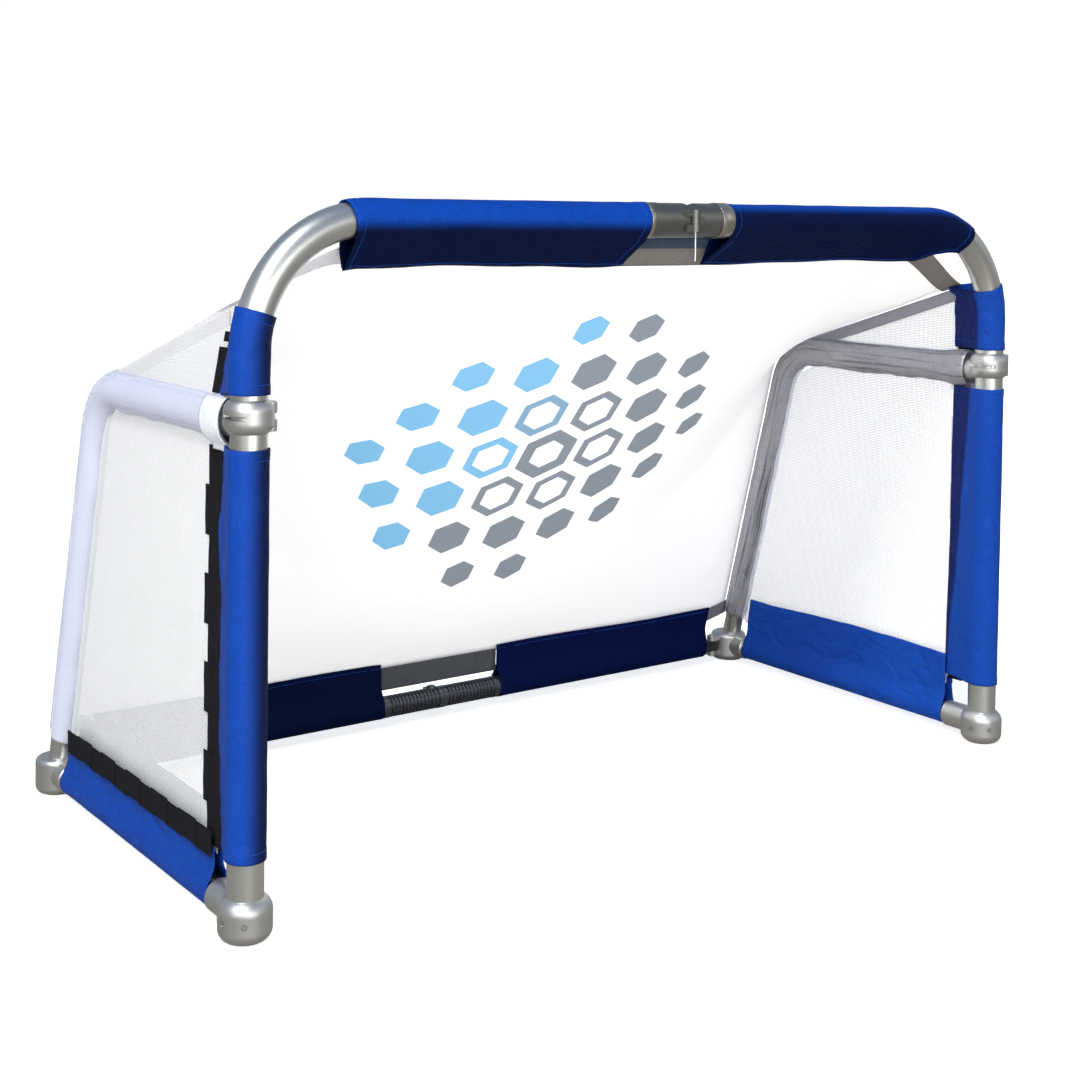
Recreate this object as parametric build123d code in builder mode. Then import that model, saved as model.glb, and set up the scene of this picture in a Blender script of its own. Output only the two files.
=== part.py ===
from build123d import *
import os
from math import asin, cos, degrees, radians, sin

os.makedirs("parts", exist_ok=True)

# Portable folding goal, millimetres. The ground is z = 0, the mouth faces -Y,
# and the origin is on the ground midway between the posts and the rear feet.

# ---- driving dimensions: frame ----
half_width = 750.0        # goal centre to each post axis
depth = 690.0             # post axis to rear foot axis
bar_height = 960.0        # crossbar axis above the ground
front_y = -depth / 2      # plane of the posts and crossbar
rear_y = depth / 2        # rear foot axis

hoop_r = 25.0             # post, bend and crossbar tube
hoop_wall = 2.0
bend_r = 180.0            # axis radius of the top corner
frame_r = 19.0            # side, base and rear tubes
frame_wall = 2.0
base_height = 33.0        # base tube axis
rear_height = 34.0        # rear bar axis
side_height = 688.0       # upper side tube axis
side_bend_y = front_y + 515.0
side_bend_r = 90.0
fit = 0.06                # radial running clearance

# ---- driving dimensions: folding mechanism ----
fold_angle = 85.5         # how far each crossbar half swings
top_pin_y = front_y - 29.0     # crossbar hinge pin, at the front of the tube
rear_pin_y = rear_y + 28.0     # rear bar hinge pin, behind the tube
rear_pivot_x = half_width - 48.0   # rear bar pivots, inboard of the rear feet
barrel_r = 7.5
pin_r = 3.5
split = 0.4               # half the gap between the two halves of a hinge
hook_slack = 0.3          # radial play of the rear pin in the open hook

# ---- driving dimensions: castings ----
foot_r = 37.0
foot_height = 60.0
post_bottom = 8.3
rear_foot_r = 37.0
pivot_to_tube = 32.0      # from the pivot pin to the rear tube's end
rear_foot_height = 58.0
socket_r = 23.5
socket_length = 78.0
base_end_gap = 30.0       # from the rear foot axis to the end of the base tube
collar_z = 698.0
collar_height = 50.0
collar_r = 34.0
slot_middle = -172.0      # azimuth of the middle of the collar's stop slot
slot_height = 6.0
stop_r = 2.6

# ---- driving dimensions: hinges ----
top_hinge_half = 86.0
top_hinge_r = 27.5
top_tube_end = 45.0       # where the crossbar tube stops inside the hinge
rear_hinge_half = 130.0
rear_hinge_r = 20.5
rear_hinge_core = 17.5
rib_pitch = 8.0
button_r = 4.5

# ---- driving dimensions: fabric ----
cloth = 2.0
sleeve_gap = 0.4
sleeve_r = hoop_r + sleeve_gap + 2.2
flap_bottom = 887.0
lower_sleeve = (108.0, 655.0)
upper_sleeve = (727.0, 840.0)
crossbar_sleeve_end = {"left": 605.0, "right": 666.0}
flap_end = {"left": (612.0, 598.0, 952.0), "right": (569.0, 655.0, 934.0)}  # low x, high x, high z
edge_flap = 75.0          # how far behind the post axis the sleeve's flap reaches
pocket_long = 30.0        # half sizes of the mesh pocket round the side tube
pocket_wide = 22.0
pocket_wall = 1.5
skirt_r = 22.0            # base tube skirt, outside
skirt_top = 148.0
skirt_outer_top = 104.0
rear_skirt_r = 21.0
rear_skirt_top = 118.0
net_edge_x = 722.0        # where the back net meets the side pockets

corner_x = half_width - bend_r
corner_z = bar_height - bend_r
top_barrels = {"left": ((943.0, 953.8), (966.2, 977.0)), "right": ((954.2, 965.8),)}
rear_barrels = {"left": ((19.0, 28.6), (39.4, 49.0)), "right": ((29.0, 39.0),)}


def finish(name, label):
    name.part.label = label
    export_step(name.part, "parts/" + label + ".step")


def across(x):
    """Upright plane normal to X, facing +X."""
    return Plane((x, 0, 0), x_dir=(0, 1, 0), z_dir=(1, 0, 0))


def facing_back(x, y, z):
    """Upright plane at a point, facing +Y: its x runs along -X and its y along +Z."""
    return Plane((x, y, z), x_dir=(-1, 0, 0), z_dir=(0, 1, 0))


def bar_plane(sign, x, y, z):
    """Plane at a point of a cross bar, facing away from the goal's middle."""
    return Plane((sign * x, y, z), x_dir=(0, sign, 0), z_dir=(sign, 0, 0))


def radial_plane(x, y, z, azimuth):
    """Plane at a point of a vertical axis, facing the given azimuth."""
    outward = (cos(radians(azimuth)), sin(radians(azimuth)), 0)
    return Plane((x, y, z), x_dir=(0, 0, 1), z_dir=outward)


def ring(outer, inner):
    Circle(outer)
    Circle(inner, mode=Mode.SUBTRACT)


def post_side_angle(sign):
    """Angle of the corner arc's end on the post, seen from the mouth."""
    return 0 if sign > 0 else 180


def stop_azimuth(sign):
    """Azimuth of the post's stop screw when the goal is open."""
    return slot_middle + sign * fold_angle / 2


# ---------------------------------------------------------------- hoop tubes
def make_hoop_tube(side, sign):
    post_x = sign * half_width
    with BuildPart() as hoop_tube:
        with BuildLine(Plane.XZ.offset(-front_y)) as route:
            Line((post_x, post_bottom), (post_x, corner_z))
            CenterArc((sign * corner_x, corner_z), bend_r, post_side_angle(sign), sign * 90)
            Line((sign * corner_x, bar_height), (sign * top_tube_end, bar_height))
        with BuildSketch(Plane((post_x, front_y, post_bottom))):
            ring(hoop_r, hoop_r - hoop_wall)
        sweep(path=route.wires()[0])
        with BuildSketch(radial_plane(post_x, front_y, collar_z, stop_azimuth(sign))):
            Circle(stop_r)
        extrude(amount=hoop_r + 5, mode=Mode.SUBTRACT)
    finish(hoop_tube, "hoop_tube_" + side)


def make_stop_screw(side, sign):
    """Screw in the post whose head runs in the collar's slot and stops the fold."""
    with BuildPart() as stop_screw:
        start = radial_plane(sign * half_width, front_y, collar_z, stop_azimuth(sign))
        with BuildSketch(start.offset(hoop_r - hoop_wall - 2)):
            Circle(stop_r)
        extrude(amount=12)
        with BuildSketch(start.offset(collar_r - 2.5)):
            SlotOverall(3.8, 1.0)
        extrude(amount=2, mode=Mode.SUBTRACT)
    finish(stop_screw, "stop_screw_" + side)


# ---------------------------------------------------------------- castings
def make_collar(side, sign):
    """Clamp collar of the side frame, in which the post turns."""
    post_x = sign * half_width
    low = collar_z - collar_height / 2
    stop_half = degrees(asin(stop_r / hoop_r)) + 0.8
    slot_span = fold_angle + 2 * stop_half
    lobe_r = 9.0
    lobe_reach = foot_r - lobe_r
    with BuildPart() as collar:
        with BuildSketch(Plane((post_x, front_y, low))):
            Circle(collar_r)
        extrude(amount=collar_height)
        rims = collar.edges().filter_by(GeomType.CIRCLE)
        fillet(rims, 18)
        for lobe_low in (low + 5, low + 29):
            lobe_x = post_x + lobe_reach * cos(radians(-25))
            lobe_y = front_y + lobe_reach * sin(radians(-25))
            with BuildSketch(Plane((lobe_x, lobe_y, lobe_low))):
                Circle(lobe_r)
            extrude(amount=16)
        lobe_rims = collar.edges().filter_by(GeomType.CIRCLE).filter_by(
            lambda edge: abs(edge.radius - lobe_r) < 0.01
        )
        fillet(lobe_rims, 2)
        with BuildSketch(facing_back(post_x, front_y, side_height)):
            Circle(socket_r - 1)
        extrude(amount=56)
        with BuildSketch(Plane((post_x, front_y, low - 10))):
            Circle(hoop_r + fit)
        extrude(amount=collar_height + 20, mode=Mode.SUBTRACT)
        with BuildSketch(
            facing_back(post_x, front_y + 30, side_height)
        ):
            Circle(frame_r)
        extrude(amount=30, mode=Mode.SUBTRACT)
        slot_start = slot_middle - slot_span / 2
        inward = (cos(radians(slot_start)), sin(radians(slot_start)), 0)
        slot_normal = (inward[1], -inward[0], 0)
        with BuildSketch(Plane((post_x, front_y, collar_z), x_dir=inward, z_dir=slot_normal)):
            with Locations((hoop_r + 8, 0)):
                Rectangle(22, slot_height)
        revolve(
            axis=Axis((post_x, front_y, 0), (0, 0, 1)),
            revolution_arc=slot_span,
            mode=Mode.SUBTRACT,
        )
    finish(collar, "collar_" + side)


def foot_screw_planes(sign):
    post_x = sign * half_width
    return [radial_plane(post_x, front_y, 30.0, azimuth) for azimuth in (-168, -118)]


def make_front_foot(side, sign):
    post_x = sign * half_width
    with BuildPart() as front_foot:
        with BuildSketch(Plane((post_x, front_y, 0))):
            Circle(foot_r)
        extrude(amount=foot_height)
        fillet(front_foot.edges().group_by(Axis.Z)[0], 17)
        fillet(front_foot.edges().group_by(Axis.Z)[-1], 20)
        with BuildSketch(facing_back(post_x, front_y, base_height)):
            Circle(socket_r)
        extrude(amount=socket_length)
        chamfer(front_foot.faces().sort_by(Axis.Y)[-1].edges(), 2)
        with BuildSketch(Plane((post_x, front_y, post_bottom - 0.3))):
            Circle(hoop_r + fit)
        extrude(amount=foot_height, mode=Mode.SUBTRACT)
        with BuildSketch(
            facing_back(post_x, front_y + 30, base_height)
        ):
            Circle(frame_r)
        extrude(amount=socket_length, mode=Mode.SUBTRACT)
        for plane in foot_screw_planes(sign):
            with BuildSketch(plane.offset(foot_r - 3)):
                Circle(4.2)
            extrude(amount=6, mode=Mode.SUBTRACT)
            with BuildSketch(plane.offset(foot_r - 8)):
                Circle(2.0)
            extrude(amount=10, mode=Mode.SUBTRACT)
    finish(front_foot, "front_foot_" + side)


def make_foot_screws(side, sign):
    with BuildPart() as foot_screws:
        for plane in foot_screw_planes(sign):
            with BuildSketch(plane.offset(foot_r - 7.5)):
                Circle(2.0)
            extrude(amount=5)
            with BuildSketch(plane.offset(foot_r - 3)):
                Circle(3.8)
            extrude(amount=2.2)
            with BuildSketch(plane.offset(foot_r - 1.8)):
                SlotOverall(5.0, 1.0)
                SlotOverall(5.0, 1.0, rotation=90)
            extrude(amount=3, mode=Mode.SUBTRACT)
    finish(foot_screws, "foot_screws_" + side)


def upright_y(z):
    """Y of the slanted upright's axis at a height."""
    lean = (rear_y - side_bend_y) / (side_height - 20)
    return rear_y - lean * (z - 20)


def make_rear_foot(side, sign):
    """Rear corner casting: puck, base tube socket, upright bore and pivot ears."""
    foot_x = sign * half_width
    pivot_x = sign * rear_pivot_x
    upright = Vector(0, side_bend_y - rear_y, side_height - 20).normalized()
    with BuildPart() as rear_foot:
        with BuildSketch(Plane((foot_x, rear_y, 0))):
            Circle(rear_foot_r)
        extrude(amount=rear_foot_height)
        fillet(rear_foot.edges().group_by(Axis.Z)[0], 12)
        fillet(rear_foot.edges().group_by(Axis.Z)[-1], 8)
        with BuildSketch(
            Plane((foot_x, rear_y, base_height), x_dir=(1, 0, 0), z_dir=(0, -1, 0))
        ):
            Circle(socket_r)
        extrude(amount=62)
        chamfer(rear_foot.faces().sort_by(Axis.Y)[0].edges(), 2)
        for ear_low in (12.0, 44.0):
            with BuildSketch(Plane((0, 0, ear_low))):
                with Locations((pivot_x, rear_y)):
                    Circle(11)
                with Locations(((foot_x + pivot_x) / 2, rear_y)):
                    Rectangle(abs(foot_x - pivot_x), 22)
            extrude(amount=10)
        with BuildSketch(Plane((foot_x, rear_y, 20), x_dir=(1, 0, 0), z_dir=upright)):
            Circle(frame_r)
        extrude(amount=80, mode=Mode.SUBTRACT)
        with BuildSketch(
            Plane((foot_x, rear_y - base_end_gap, base_height), x_dir=(1, 0, 0), z_dir=(0, -1, 0))
        ):
            Circle(frame_r)
        extrude(amount=60, mode=Mode.SUBTRACT)
        with BuildSketch(Plane((pivot_x, rear_y, 0))):
            Circle(pin_r)
        extrude(amount=rear_foot_height, mode=Mode.SUBTRACT)
    finish(rear_foot, "rear_foot_" + side)


def make_rear_pivot_pin(side, sign):
    with BuildPart() as rear_pivot_pin:
        with BuildSketch(Plane((sign * rear_pivot_x, rear_y, 9))):
            Circle(pin_r)
        extrude(amount=45)
        with BuildSketch(Plane((sign * rear_pivot_x, rear_y, 54))):
            Circle(6)
        extrude(amount=2.5)
        chamfer(rear_pivot_pin.faces().sort_by(Axis.Z)[-1].edges(), 0.8)
    finish(rear_pivot_pin, "rear_pivot_pin_" + side)


# ---------------------------------------------------------------- side frame tubes
def side_route(sign, start_y, end_z):
    """Points of the side tube's axis: back from the collar, then down to the rear foot."""
    return [
        (start_y, side_height),
        (side_bend_y, side_height),
        (upright_y(end_z), end_z),
    ]


def make_side_tube(side, sign):
    start_y = front_y + 30
    with BuildPart() as side_tube:
        with BuildLine(across(sign * half_width)) as route:
            FilletPolyline(*side_route(sign, start_y, 20), radius=side_bend_r)
        with BuildSketch(
            facing_back(sign * half_width, start_y, side_height)
        ):
            ring(frame_r, frame_r - frame_wall)
        sweep(path=route.wires()[0])
    finish(side_tube, "side_tube_" + side)


def make_base_tube(side, sign):
    start_y = front_y + 30
    with BuildPart() as base_tube:
        with BuildSketch(
            facing_back(sign * half_width, start_y, base_height)
        ):
            ring(frame_r, frame_r - frame_wall)
        extrude(amount=rear_y - base_end_gap - start_y)
    finish(base_tube, "base_tube_" + side)


# ---------------------------------------------------------------- rear bar
def make_rear_tube(side, sign):
    with BuildPart() as rear_tube:
        with BuildSketch(bar_plane(sign, rear_hinge_half, rear_y, rear_height)):
            ring(frame_r, frame_r - frame_wall)
        extrude(amount=rear_pivot_x - pivot_to_tube - rear_hinge_half)
    finish(rear_tube, "rear_tube_" + side)


def make_rear_end_fitting(side, sign):
    """Plug in the end of the rear tube, with the lug that turns on the pivot pin."""
    pivot_x = sign * rear_pivot_x
    with BuildPart() as rear_end_fitting:
        with BuildSketch(Plane((0, 0, 22.5))):
            with Locations((pivot_x, rear_y)):
                Circle(10)
            with Locations((pivot_x - sign * pivot_to_tube / 2, rear_y)):
                Rectangle(pivot_to_tube - 2, 20)
        extrude(amount=21)
        with BuildSketch(bar_plane(sign, rear_pivot_x - pivot_to_tube, rear_y, rear_height)):
            Circle(frame_r)
        extrude(amount=4)
        with BuildSketch(bar_plane(sign, rear_pivot_x - pivot_to_tube, rear_y, rear_height)):
            Circle(frame_r - frame_wall)
        extrude(amount=-36)
        with BuildSketch(Plane((pivot_x, rear_y, 0))):
            Circle(pin_r + fit)
        extrude(amount=80, mode=Mode.SUBTRACT)
    finish(rear_end_fitting, "rear_end_fitting_" + side)


def hinge_barrels(sign, ranges, pin_y, body_y):
    """Barrels round the hinge pin, each with a web that ends short of the folding plane."""
    inner = pin_y + (1.2 if pin_y > body_y else -1.2)
    outer = body_y + (pin_y - body_y) * 0.55
    with BuildPart() as barrels:
        for low, high in ranges:
            with BuildSketch(Plane((0, 0, low))):
                with Locations((0, pin_y)):
                    Circle(barrel_r)
                with Locations((sign * (split + 9), (inner + outer) / 2)):
                    Rectangle(18, abs(inner - outer))
            extrude(amount=high - low)
    return barrels.part


def hinge_clearance(side, ranges, pin_y, low_z):
    """The room that the other half's barrels turn in, and this half's pin bore."""
    other = "left" if side == "right" else "right"
    with BuildPart() as clearance:
        for low, high in ranges[other]:
            with BuildSketch(Plane((0, pin_y, low - 0.3))):
                Circle(barrel_r + 0.7)
            extrude(amount=high - low + 0.6)
        with BuildSketch(Plane((0, pin_y, low_z))):
            Circle(pin_r if side == "left" else pin_r + fit)
        extrude(amount=60)
    return clearance.part


def make_rear_hinge(side, sign):
    """Half of the ribbed rear hinge: core, ribs, flanges, spigot and barrels."""
    barrels = hinge_barrels(sign, rear_barrels[side], rear_pin_y, rear_y)
    clearance = hinge_clearance(side, rear_barrels, rear_pin_y, 10)
    with BuildPart() as rear_hinge:
        with BuildSketch(bar_plane(sign, split, rear_y, rear_height)):
            Circle(rear_hinge_core)
        extrude(amount=rear_hinge_half - split)
        with BuildSketch(bar_plane(sign, rear_hinge_half, rear_y, rear_height)):
            Circle(frame_r - frame_wall)
        extrude(amount=40)
        rib_start = 14.0
        rib_count = int((rear_hinge_half - 12 - rib_start) // rib_pitch)
        for number in range(rib_count):
            rib_x = rib_start + number * rib_pitch
            with BuildSketch(bar_plane(sign, rib_x, rear_y, rear_height)):
                Circle(rear_hinge_r - 0.5)
            extrude(amount=rib_pitch / 2)
        for flange_x, width in ((split, 8.0), (rear_hinge_half - 12, 12.0)):
            with BuildSketch(bar_plane(sign, flange_x, rear_y, rear_height)):
                Circle(rear_hinge_r)
            extrude(amount=width)
        add(barrels)
        add(clearance, mode=Mode.SUBTRACT)
        if side == "right":
            # The loop of the folding frame is left open here, so this barrel is a hook.
            with BuildSketch(Plane((0, rear_pin_y, 10))):
                with Locations(Location((0, 0), 115)):
                    Circle(pin_r + hook_slack)
                    with Locations((6.9, 0)):
                        Rectangle(18.2, 2 * pin_r + 4)
            extrude(amount=60, mode=Mode.SUBTRACT)
        else:
            boss_x = -24.0
            with BuildSketch(Plane((boss_x, rear_y, rear_height))):
                Circle(button_r + 3.5)
            extrude(amount=rear_hinge_r)
            with BuildSketch(Plane((boss_x, rear_y, rear_height))):
                Circle(button_r + fit)
            extrude(amount=40, mode=Mode.SUBTRACT)
    finish(rear_hinge, "rear_hinge_" + side)


def make_rear_hinge_pin():
    with BuildPart() as rear_hinge_pin:
        with BuildSketch(Plane((0, rear_pin_y, 17.5))):
            Circle(pin_r)
        extrude(amount=33)
        chamfer(rear_hinge_pin.edges().group_by(Axis.Z)[0], 0.6)
        chamfer(rear_hinge_pin.edges().group_by(Axis.Z)[-1], 0.6)
    finish(rear_hinge_pin, "rear_hinge_pin")


# ---------------------------------------------------------------- crossbar hinge
def make_top_hinge(side, sign):
    """Half of the crossbar hinge: shell over the tube's end, solid at the split."""
    barrels = hinge_barrels(sign, top_barrels[side], top_pin_y, front_y)
    clearance = hinge_clearance(side, top_barrels, top_pin_y, 930)
    with BuildPart() as top_hinge:
        with BuildSketch(bar_plane(sign, split, front_y, bar_height)):
            Circle(top_hinge_r)
        extrude(amount=top_hinge_half - split)
        with BuildSketch(bar_plane(sign, top_hinge_half - 26, front_y, bar_height)):
            Circle(top_hinge_r + 0.7)
        extrude(amount=26)
        with BuildSketch(bar_plane(sign, top_tube_end, front_y, bar_height)):
            Circle(hoop_r)
        extrude(amount=60, mode=Mode.SUBTRACT)
        add(barrels)
        add(clearance, mode=Mode.SUBTRACT)
        with BuildSketch(Plane.XZ.offset(-(front_y + 40))):
            with BuildLine():
                if side == "right":
                    Polyline((0, 1000), (0, 978), (13, 978), (21, 988), (21, 1000), close=True)
                else:
                    Polyline((0, 1000), (0, 980), (-7, 989), (-7, 1000), close=True)
            make_face()
        extrude(amount=80, mode=Mode.SUBTRACT)
        if side == "right":
            with BuildSketch(Plane((7.5, front_y, 956))):
                Circle(button_r + fit)
            extrude(amount=40, mode=Mode.SUBTRACT)
        else:
            with BuildSketch(Plane((0, top_pin_y, 977))):
                Circle(pin_r + 1.4)
            extrude(amount=-3, mode=Mode.SUBTRACT)
            with BuildSketch(Plane((0, top_pin_y, 943))):
                Circle(pin_r + 1.4)
            extrude(amount=3, mode=Mode.SUBTRACT)
    finish(top_hinge, "top_hinge_" + side)


def make_top_hinge_pin():
    with BuildPart() as top_hinge_pin:
        with BuildSketch(Plane((0, top_pin_y, 946))):
            Circle(pin_r)
        extrude(amount=28)
        chamfer(top_hinge_pin.edges().group_by(Axis.Z)[-1], 0.5)
    finish(top_hinge_pin, "top_hinge_pin")


def make_button(label, x, y, bore_bottom, top):
    """Push button with a domed top, over its return spring."""
    spring_height = 9.0
    wire_r = 0.45
    with BuildPart() as button:
        with BuildSketch(Plane((x, y, bore_bottom + spring_height))):
            Circle(button_r)
        extrude(amount=top - bore_bottom - spring_height)
        fillet(button.edges().group_by(Axis.Z)[-1], 1.2)
    finish(button, label + "_release_button")
    with BuildPart() as button_spring:
        coil_r = button_r - 1.2
        rise = spring_height - 2 * wire_r - 0.2
        start = bore_bottom + wire_r + 0.1
        with BuildLine(Plane((x, y, start))):
            coil = Helix(pitch=rise / 4, height=rise, radius=coil_r)
        with BuildSketch(Plane(coil @ 0, z_dir=coil % 0)):
            Circle(wire_r)
        sweep(path=coil, is_frenet=True)
    finish(button_spring, label + "_button_spring")


def make_pull_cord():
    """Thin cord that hangs from the lower end of the crossbar hinge pin."""
    points = [
        (0, top_pin_y, 945.9),
        (0.3, top_pin_y - 0.2, 934),
        (-0.5, top_pin_y - 0.9, 921),
        (0.4, top_pin_y - 0.6, 908),
        (0.2, top_pin_y + 0.3, 897),
    ]
    radii = []
    for before, point, after in zip(points, points[1:], points[2:]):
        arriving = Vector(*point) - Vector(*before)
        leaving = Vector(*after) - Vector(*point)
        turn = radians(arriving.get_angle(leaving))
        shorter = min(arriving.length, leaving.length)
        radii.append(0.45 * shorter * cos(turn / 2) / sin(turn / 2))
    with BuildPart() as pull_cord:
        with BuildLine() as route:
            FilletPolyline(*points, radius=radii)
        start = route.wires()[0]
        with BuildSketch(Plane(start @ 0, z_dir=start % 0)):
            Circle(0.9)
        sweep(path=start)
    print("pull cord radii", [round(radius) for radius in radii], "length", round(start.length, 1))
    finish(pull_cord, "pull_cord")


# ---------------------------------------------------------------- sleeves on the hoop
def make_crossbar_sleeve(side, sign):
    """Padded cover of a crossbar half, with the flap that hangs behind it."""
    end_x = crossbar_sleeve_end[side]
    turn = degrees(asin((end_x - corner_x) / bend_r))
    flap_y = front_y + hoop_r + 0.6
    low_x, high_x, high_z = flap_end[side]
    with BuildPart() as crossbar_sleeve:
        with BuildLine(Plane.XZ.offset(-front_y)) as route:
            Line((sign * top_hinge_half, bar_height), (sign * corner_x, bar_height))
            CenterArc((sign * corner_x, corner_z), bend_r, 90, -sign * turn)
        with BuildSketch(bar_plane(sign, top_hinge_half, front_y, bar_height)):
            ring(sleeve_r, hoop_r + sleeve_gap)
        sweep(path=route.wires()[0])
        with BuildSketch(Plane.XZ.offset(-flap_y)):
            with BuildLine():
                Polyline(
                    (sign * top_hinge_half, bar_height - 4),
                    (sign * (top_hinge_half + 20), flap_bottom),
                    (sign * low_x, flap_bottom),
                    (sign * high_x, high_z),
                    close=True,
                )
            make_face()
        extrude(amount=-1.6)
    finish(crossbar_sleeve, "crossbar_sleeve_" + side)


def make_upper_sleeve(side, sign):
    """Cover of the post above the collar, reaching into the bend."""
    low, high = upper_sleeve
    turn = degrees(asin((high - corner_z) / bend_r))
    post_x = sign * half_width
    with BuildPart() as post_sleeve_upper:
        with BuildLine(Plane.XZ.offset(-front_y)) as route:
            Line((post_x, low), (post_x, corner_z))
            CenterArc((sign * corner_x, corner_z), bend_r, post_side_angle(sign), sign * turn)
        with BuildSketch(Plane((post_x, front_y, low))):
            ring(sleeve_r, hoop_r + sleeve_gap)
        sweep(path=route.wires()[0])
    finish(post_sleeve_upper, "post_sleeve_upper_" + side)


# ---------------------------------------------------------------- fabric on the side frames
def make_lower_sleeve(side, sign):
    """Cover of the post below the collar, with the flat flap that holds the side net."""
    low, high = lower_sleeve
    post_x = sign * half_width
    with BuildPart() as post_sleeve_lower:
        with BuildSketch(Plane((post_x, front_y, low))):
            ring(sleeve_r, hoop_r + sleeve_gap)
            with Locations((0, (hoop_r + 1 + edge_flap) / 2)):
                Rectangle(cloth, edge_flap - hoop_r - 1)
        extrude(amount=high - low)
    finish(post_sleeve_lower, "post_sleeve_lower_" + side)


def make_pocket(side, sign):
    """Mesh pocket sewn round the side tube."""
    start_y = front_y + 58
    with BuildPart() as side_tube_pocket:
        with BuildLine(across(sign * half_width)) as route:
            FilletPolyline(*side_route(sign, start_y, 95), radius=side_bend_r)
        with BuildSketch(
            facing_back(sign * half_width, start_y, side_height)
        ):
            Ellipse(pocket_wide, pocket_long)
            Ellipse(pocket_wide - pocket_wall, pocket_long - pocket_wall, mode=Mode.SUBTRACT)
        sweep(path=route.wires()[0])
    finish(side_tube_pocket, "side_tube_pocket_" + side)


def make_side_net(side, sign):
    """Flat side netting: the panel inside the side frame and the one above it."""
    gap = pocket_long + 4
    panel_low = base_height + frame_r + 5
    panel_high = side_height - gap
    lower_panel = [
        (front_y + edge_flap + 2, panel_low),
        (front_y + edge_flap + 2, panel_high),
        (side_bend_y - 75, panel_high),
        (upright_y(600) - gap - 1, 600),
        (upright_y(panel_low) - gap, panel_low),
    ]
    upper_panel = [
        (front_y + edge_flap + 2, side_height + gap),
        (front_y + 82, 800),
        (front_y + 126, 874),
        (side_bend_y - 75, side_height + gap),
    ]
    with BuildPart() as side_net:
        for outline in (lower_panel, upper_panel):
            with BuildSketch(across(sign * half_width).offset(-cloth / 2)):
                with BuildLine():
                    Polyline(*outline, close=True)
                make_face()
            extrude(amount=cloth)
    finish(side_net, "side_net_" + side)


def make_side_skirt(side, sign):
    """Fabric wrapped round the base tube, with its tall inner and short outer layer."""
    start_y = front_y + 84
    end_y = rear_y - 66
    with BuildPart() as side_skirt:
        with BuildSketch(
            facing_back(sign * half_width, start_y, 0)
        ):
            with Locations((0, base_height)):
                Circle(skirt_r)
            inner_low = base_height + skirt_r - 4
            with Locations((sign * 4, (inner_low + skirt_top) / 2)):
                Rectangle(cloth, skirt_top - inner_low)
            with Locations((-sign * 4, (inner_low + skirt_outer_top) / 2)):
                Rectangle(cloth, skirt_outer_top - inner_low)
            with Locations((0, base_height)):
                Circle(frame_r + sleeve_gap, mode=Mode.SUBTRACT)
        extrude(amount=end_y - start_y)
    finish(side_skirt, "side_skirt_" + side)


def make_velcro_strips(side, sign):
    """Hook-and-loop strips that close the side net on the outside."""
    outside = across(sign * (half_width + 2.5)).offset(0 if sign > 0 else -1.8)
    with BuildPart() as velcro_post:
        with BuildSketch(outside):
            with Locations((front_y + 93, 383)):
                Rectangle(30, 534)
        extrude(amount=1.8)
    finish(velcro_post, "velcro_post_" + side)
    with BuildPart() as velcro_base:
        with BuildSketch(outside.offset(sign * 4.2)):
            with Locations(((front_y + rear_y) / 2 + 10, skirt_outer_top + 2)):
                Rectangle(470, 26)
        extrude(amount=1.8)
    finish(velcro_base, "velcro_base_" + side)


# ---------------------------------------------------------------- back net and bands
def net_section(x, knee_y, knee_z):
    """Section of the back net across the goal at one x, thin and closed."""
    top = (front_y + 33, 922)
    bottom = (rear_y + 12, 116)
    shift = 2.1
    outline = [top, (knee_y, knee_z), bottom]
    inner = [(y - shift, z - shift) for y, z in reversed(outline)]
    with BuildSketch(across(x)) as section:
        with BuildLine():
            Polyline(*outline, *inner, close=True)
        make_face()
    return section.sketch


def make_back_net(side, sign):
    """Half of the back net, from the crossbar over the rear bend to the rear bar."""
    middle_knee = (60.0, 500.0)
    edge_knee = (side_bend_y + 5, side_height + 36)
    with BuildPart() as back_net:
        for x, share in ((0.6, 0.0), (470.0, 0.36), (net_edge_x, 1.0)):
            knee_y = middle_knee[0] + share * (edge_knee[0] - middle_knee[0])
            knee_z = middle_knee[1] + share * (edge_knee[1] - middle_knee[1])
            add(net_section(sign * x, knee_y, knee_z))
        loft(ruled=True)
    finish(back_net, "back_net_" + side)


def make_bands(side, sign):
    """Grey bands of the back net that show in the gaps at the two middle hinges."""
    with BuildPart() as top_band:
        with BuildSketch(Plane.XZ.offset(-(front_y + 26))):
            with BuildLine():
                Polyline((0, 930), (sign * 90, 930), (sign * 103, 887), (0, 887), close=True)
            make_face()
        extrude(amount=-1.4)
    finish(top_band, "top_band_" + side)
    with BuildPart() as rear_band:
        with BuildSketch(Plane.XZ.offset(-(rear_y - 1))):
            with Locations((sign * 64.5, 88)):
                Rectangle(127, 42)
        extrude(amount=-1.6)
    finish(rear_band, "rear_band_" + side)


def make_rear_skirt(side, sign):
    """Fabric wrapped round a rear tube half, standing up behind it."""
    start_x = rear_hinge_half + 2
    end_x = rear_pivot_x - pivot_to_tube - 2
    with BuildPart() as rear_skirt:
        with BuildSketch(bar_plane(sign, start_x, rear_y, 0)):
            with Locations((0, rear_height)):
                Circle(rear_skirt_r)
            stand_low = rear_height + frame_r
            with Locations((0, (stand_low + rear_skirt_top) / 2)):
                Rectangle(cloth, rear_skirt_top - stand_low)
            with Locations((0, rear_height)):
                Circle(frame_r + sleeve_gap, mode=Mode.SUBTRACT)
        extrude(amount=end_x - start_x)
    finish(rear_skirt, "rear_skirt_" + side)


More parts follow.
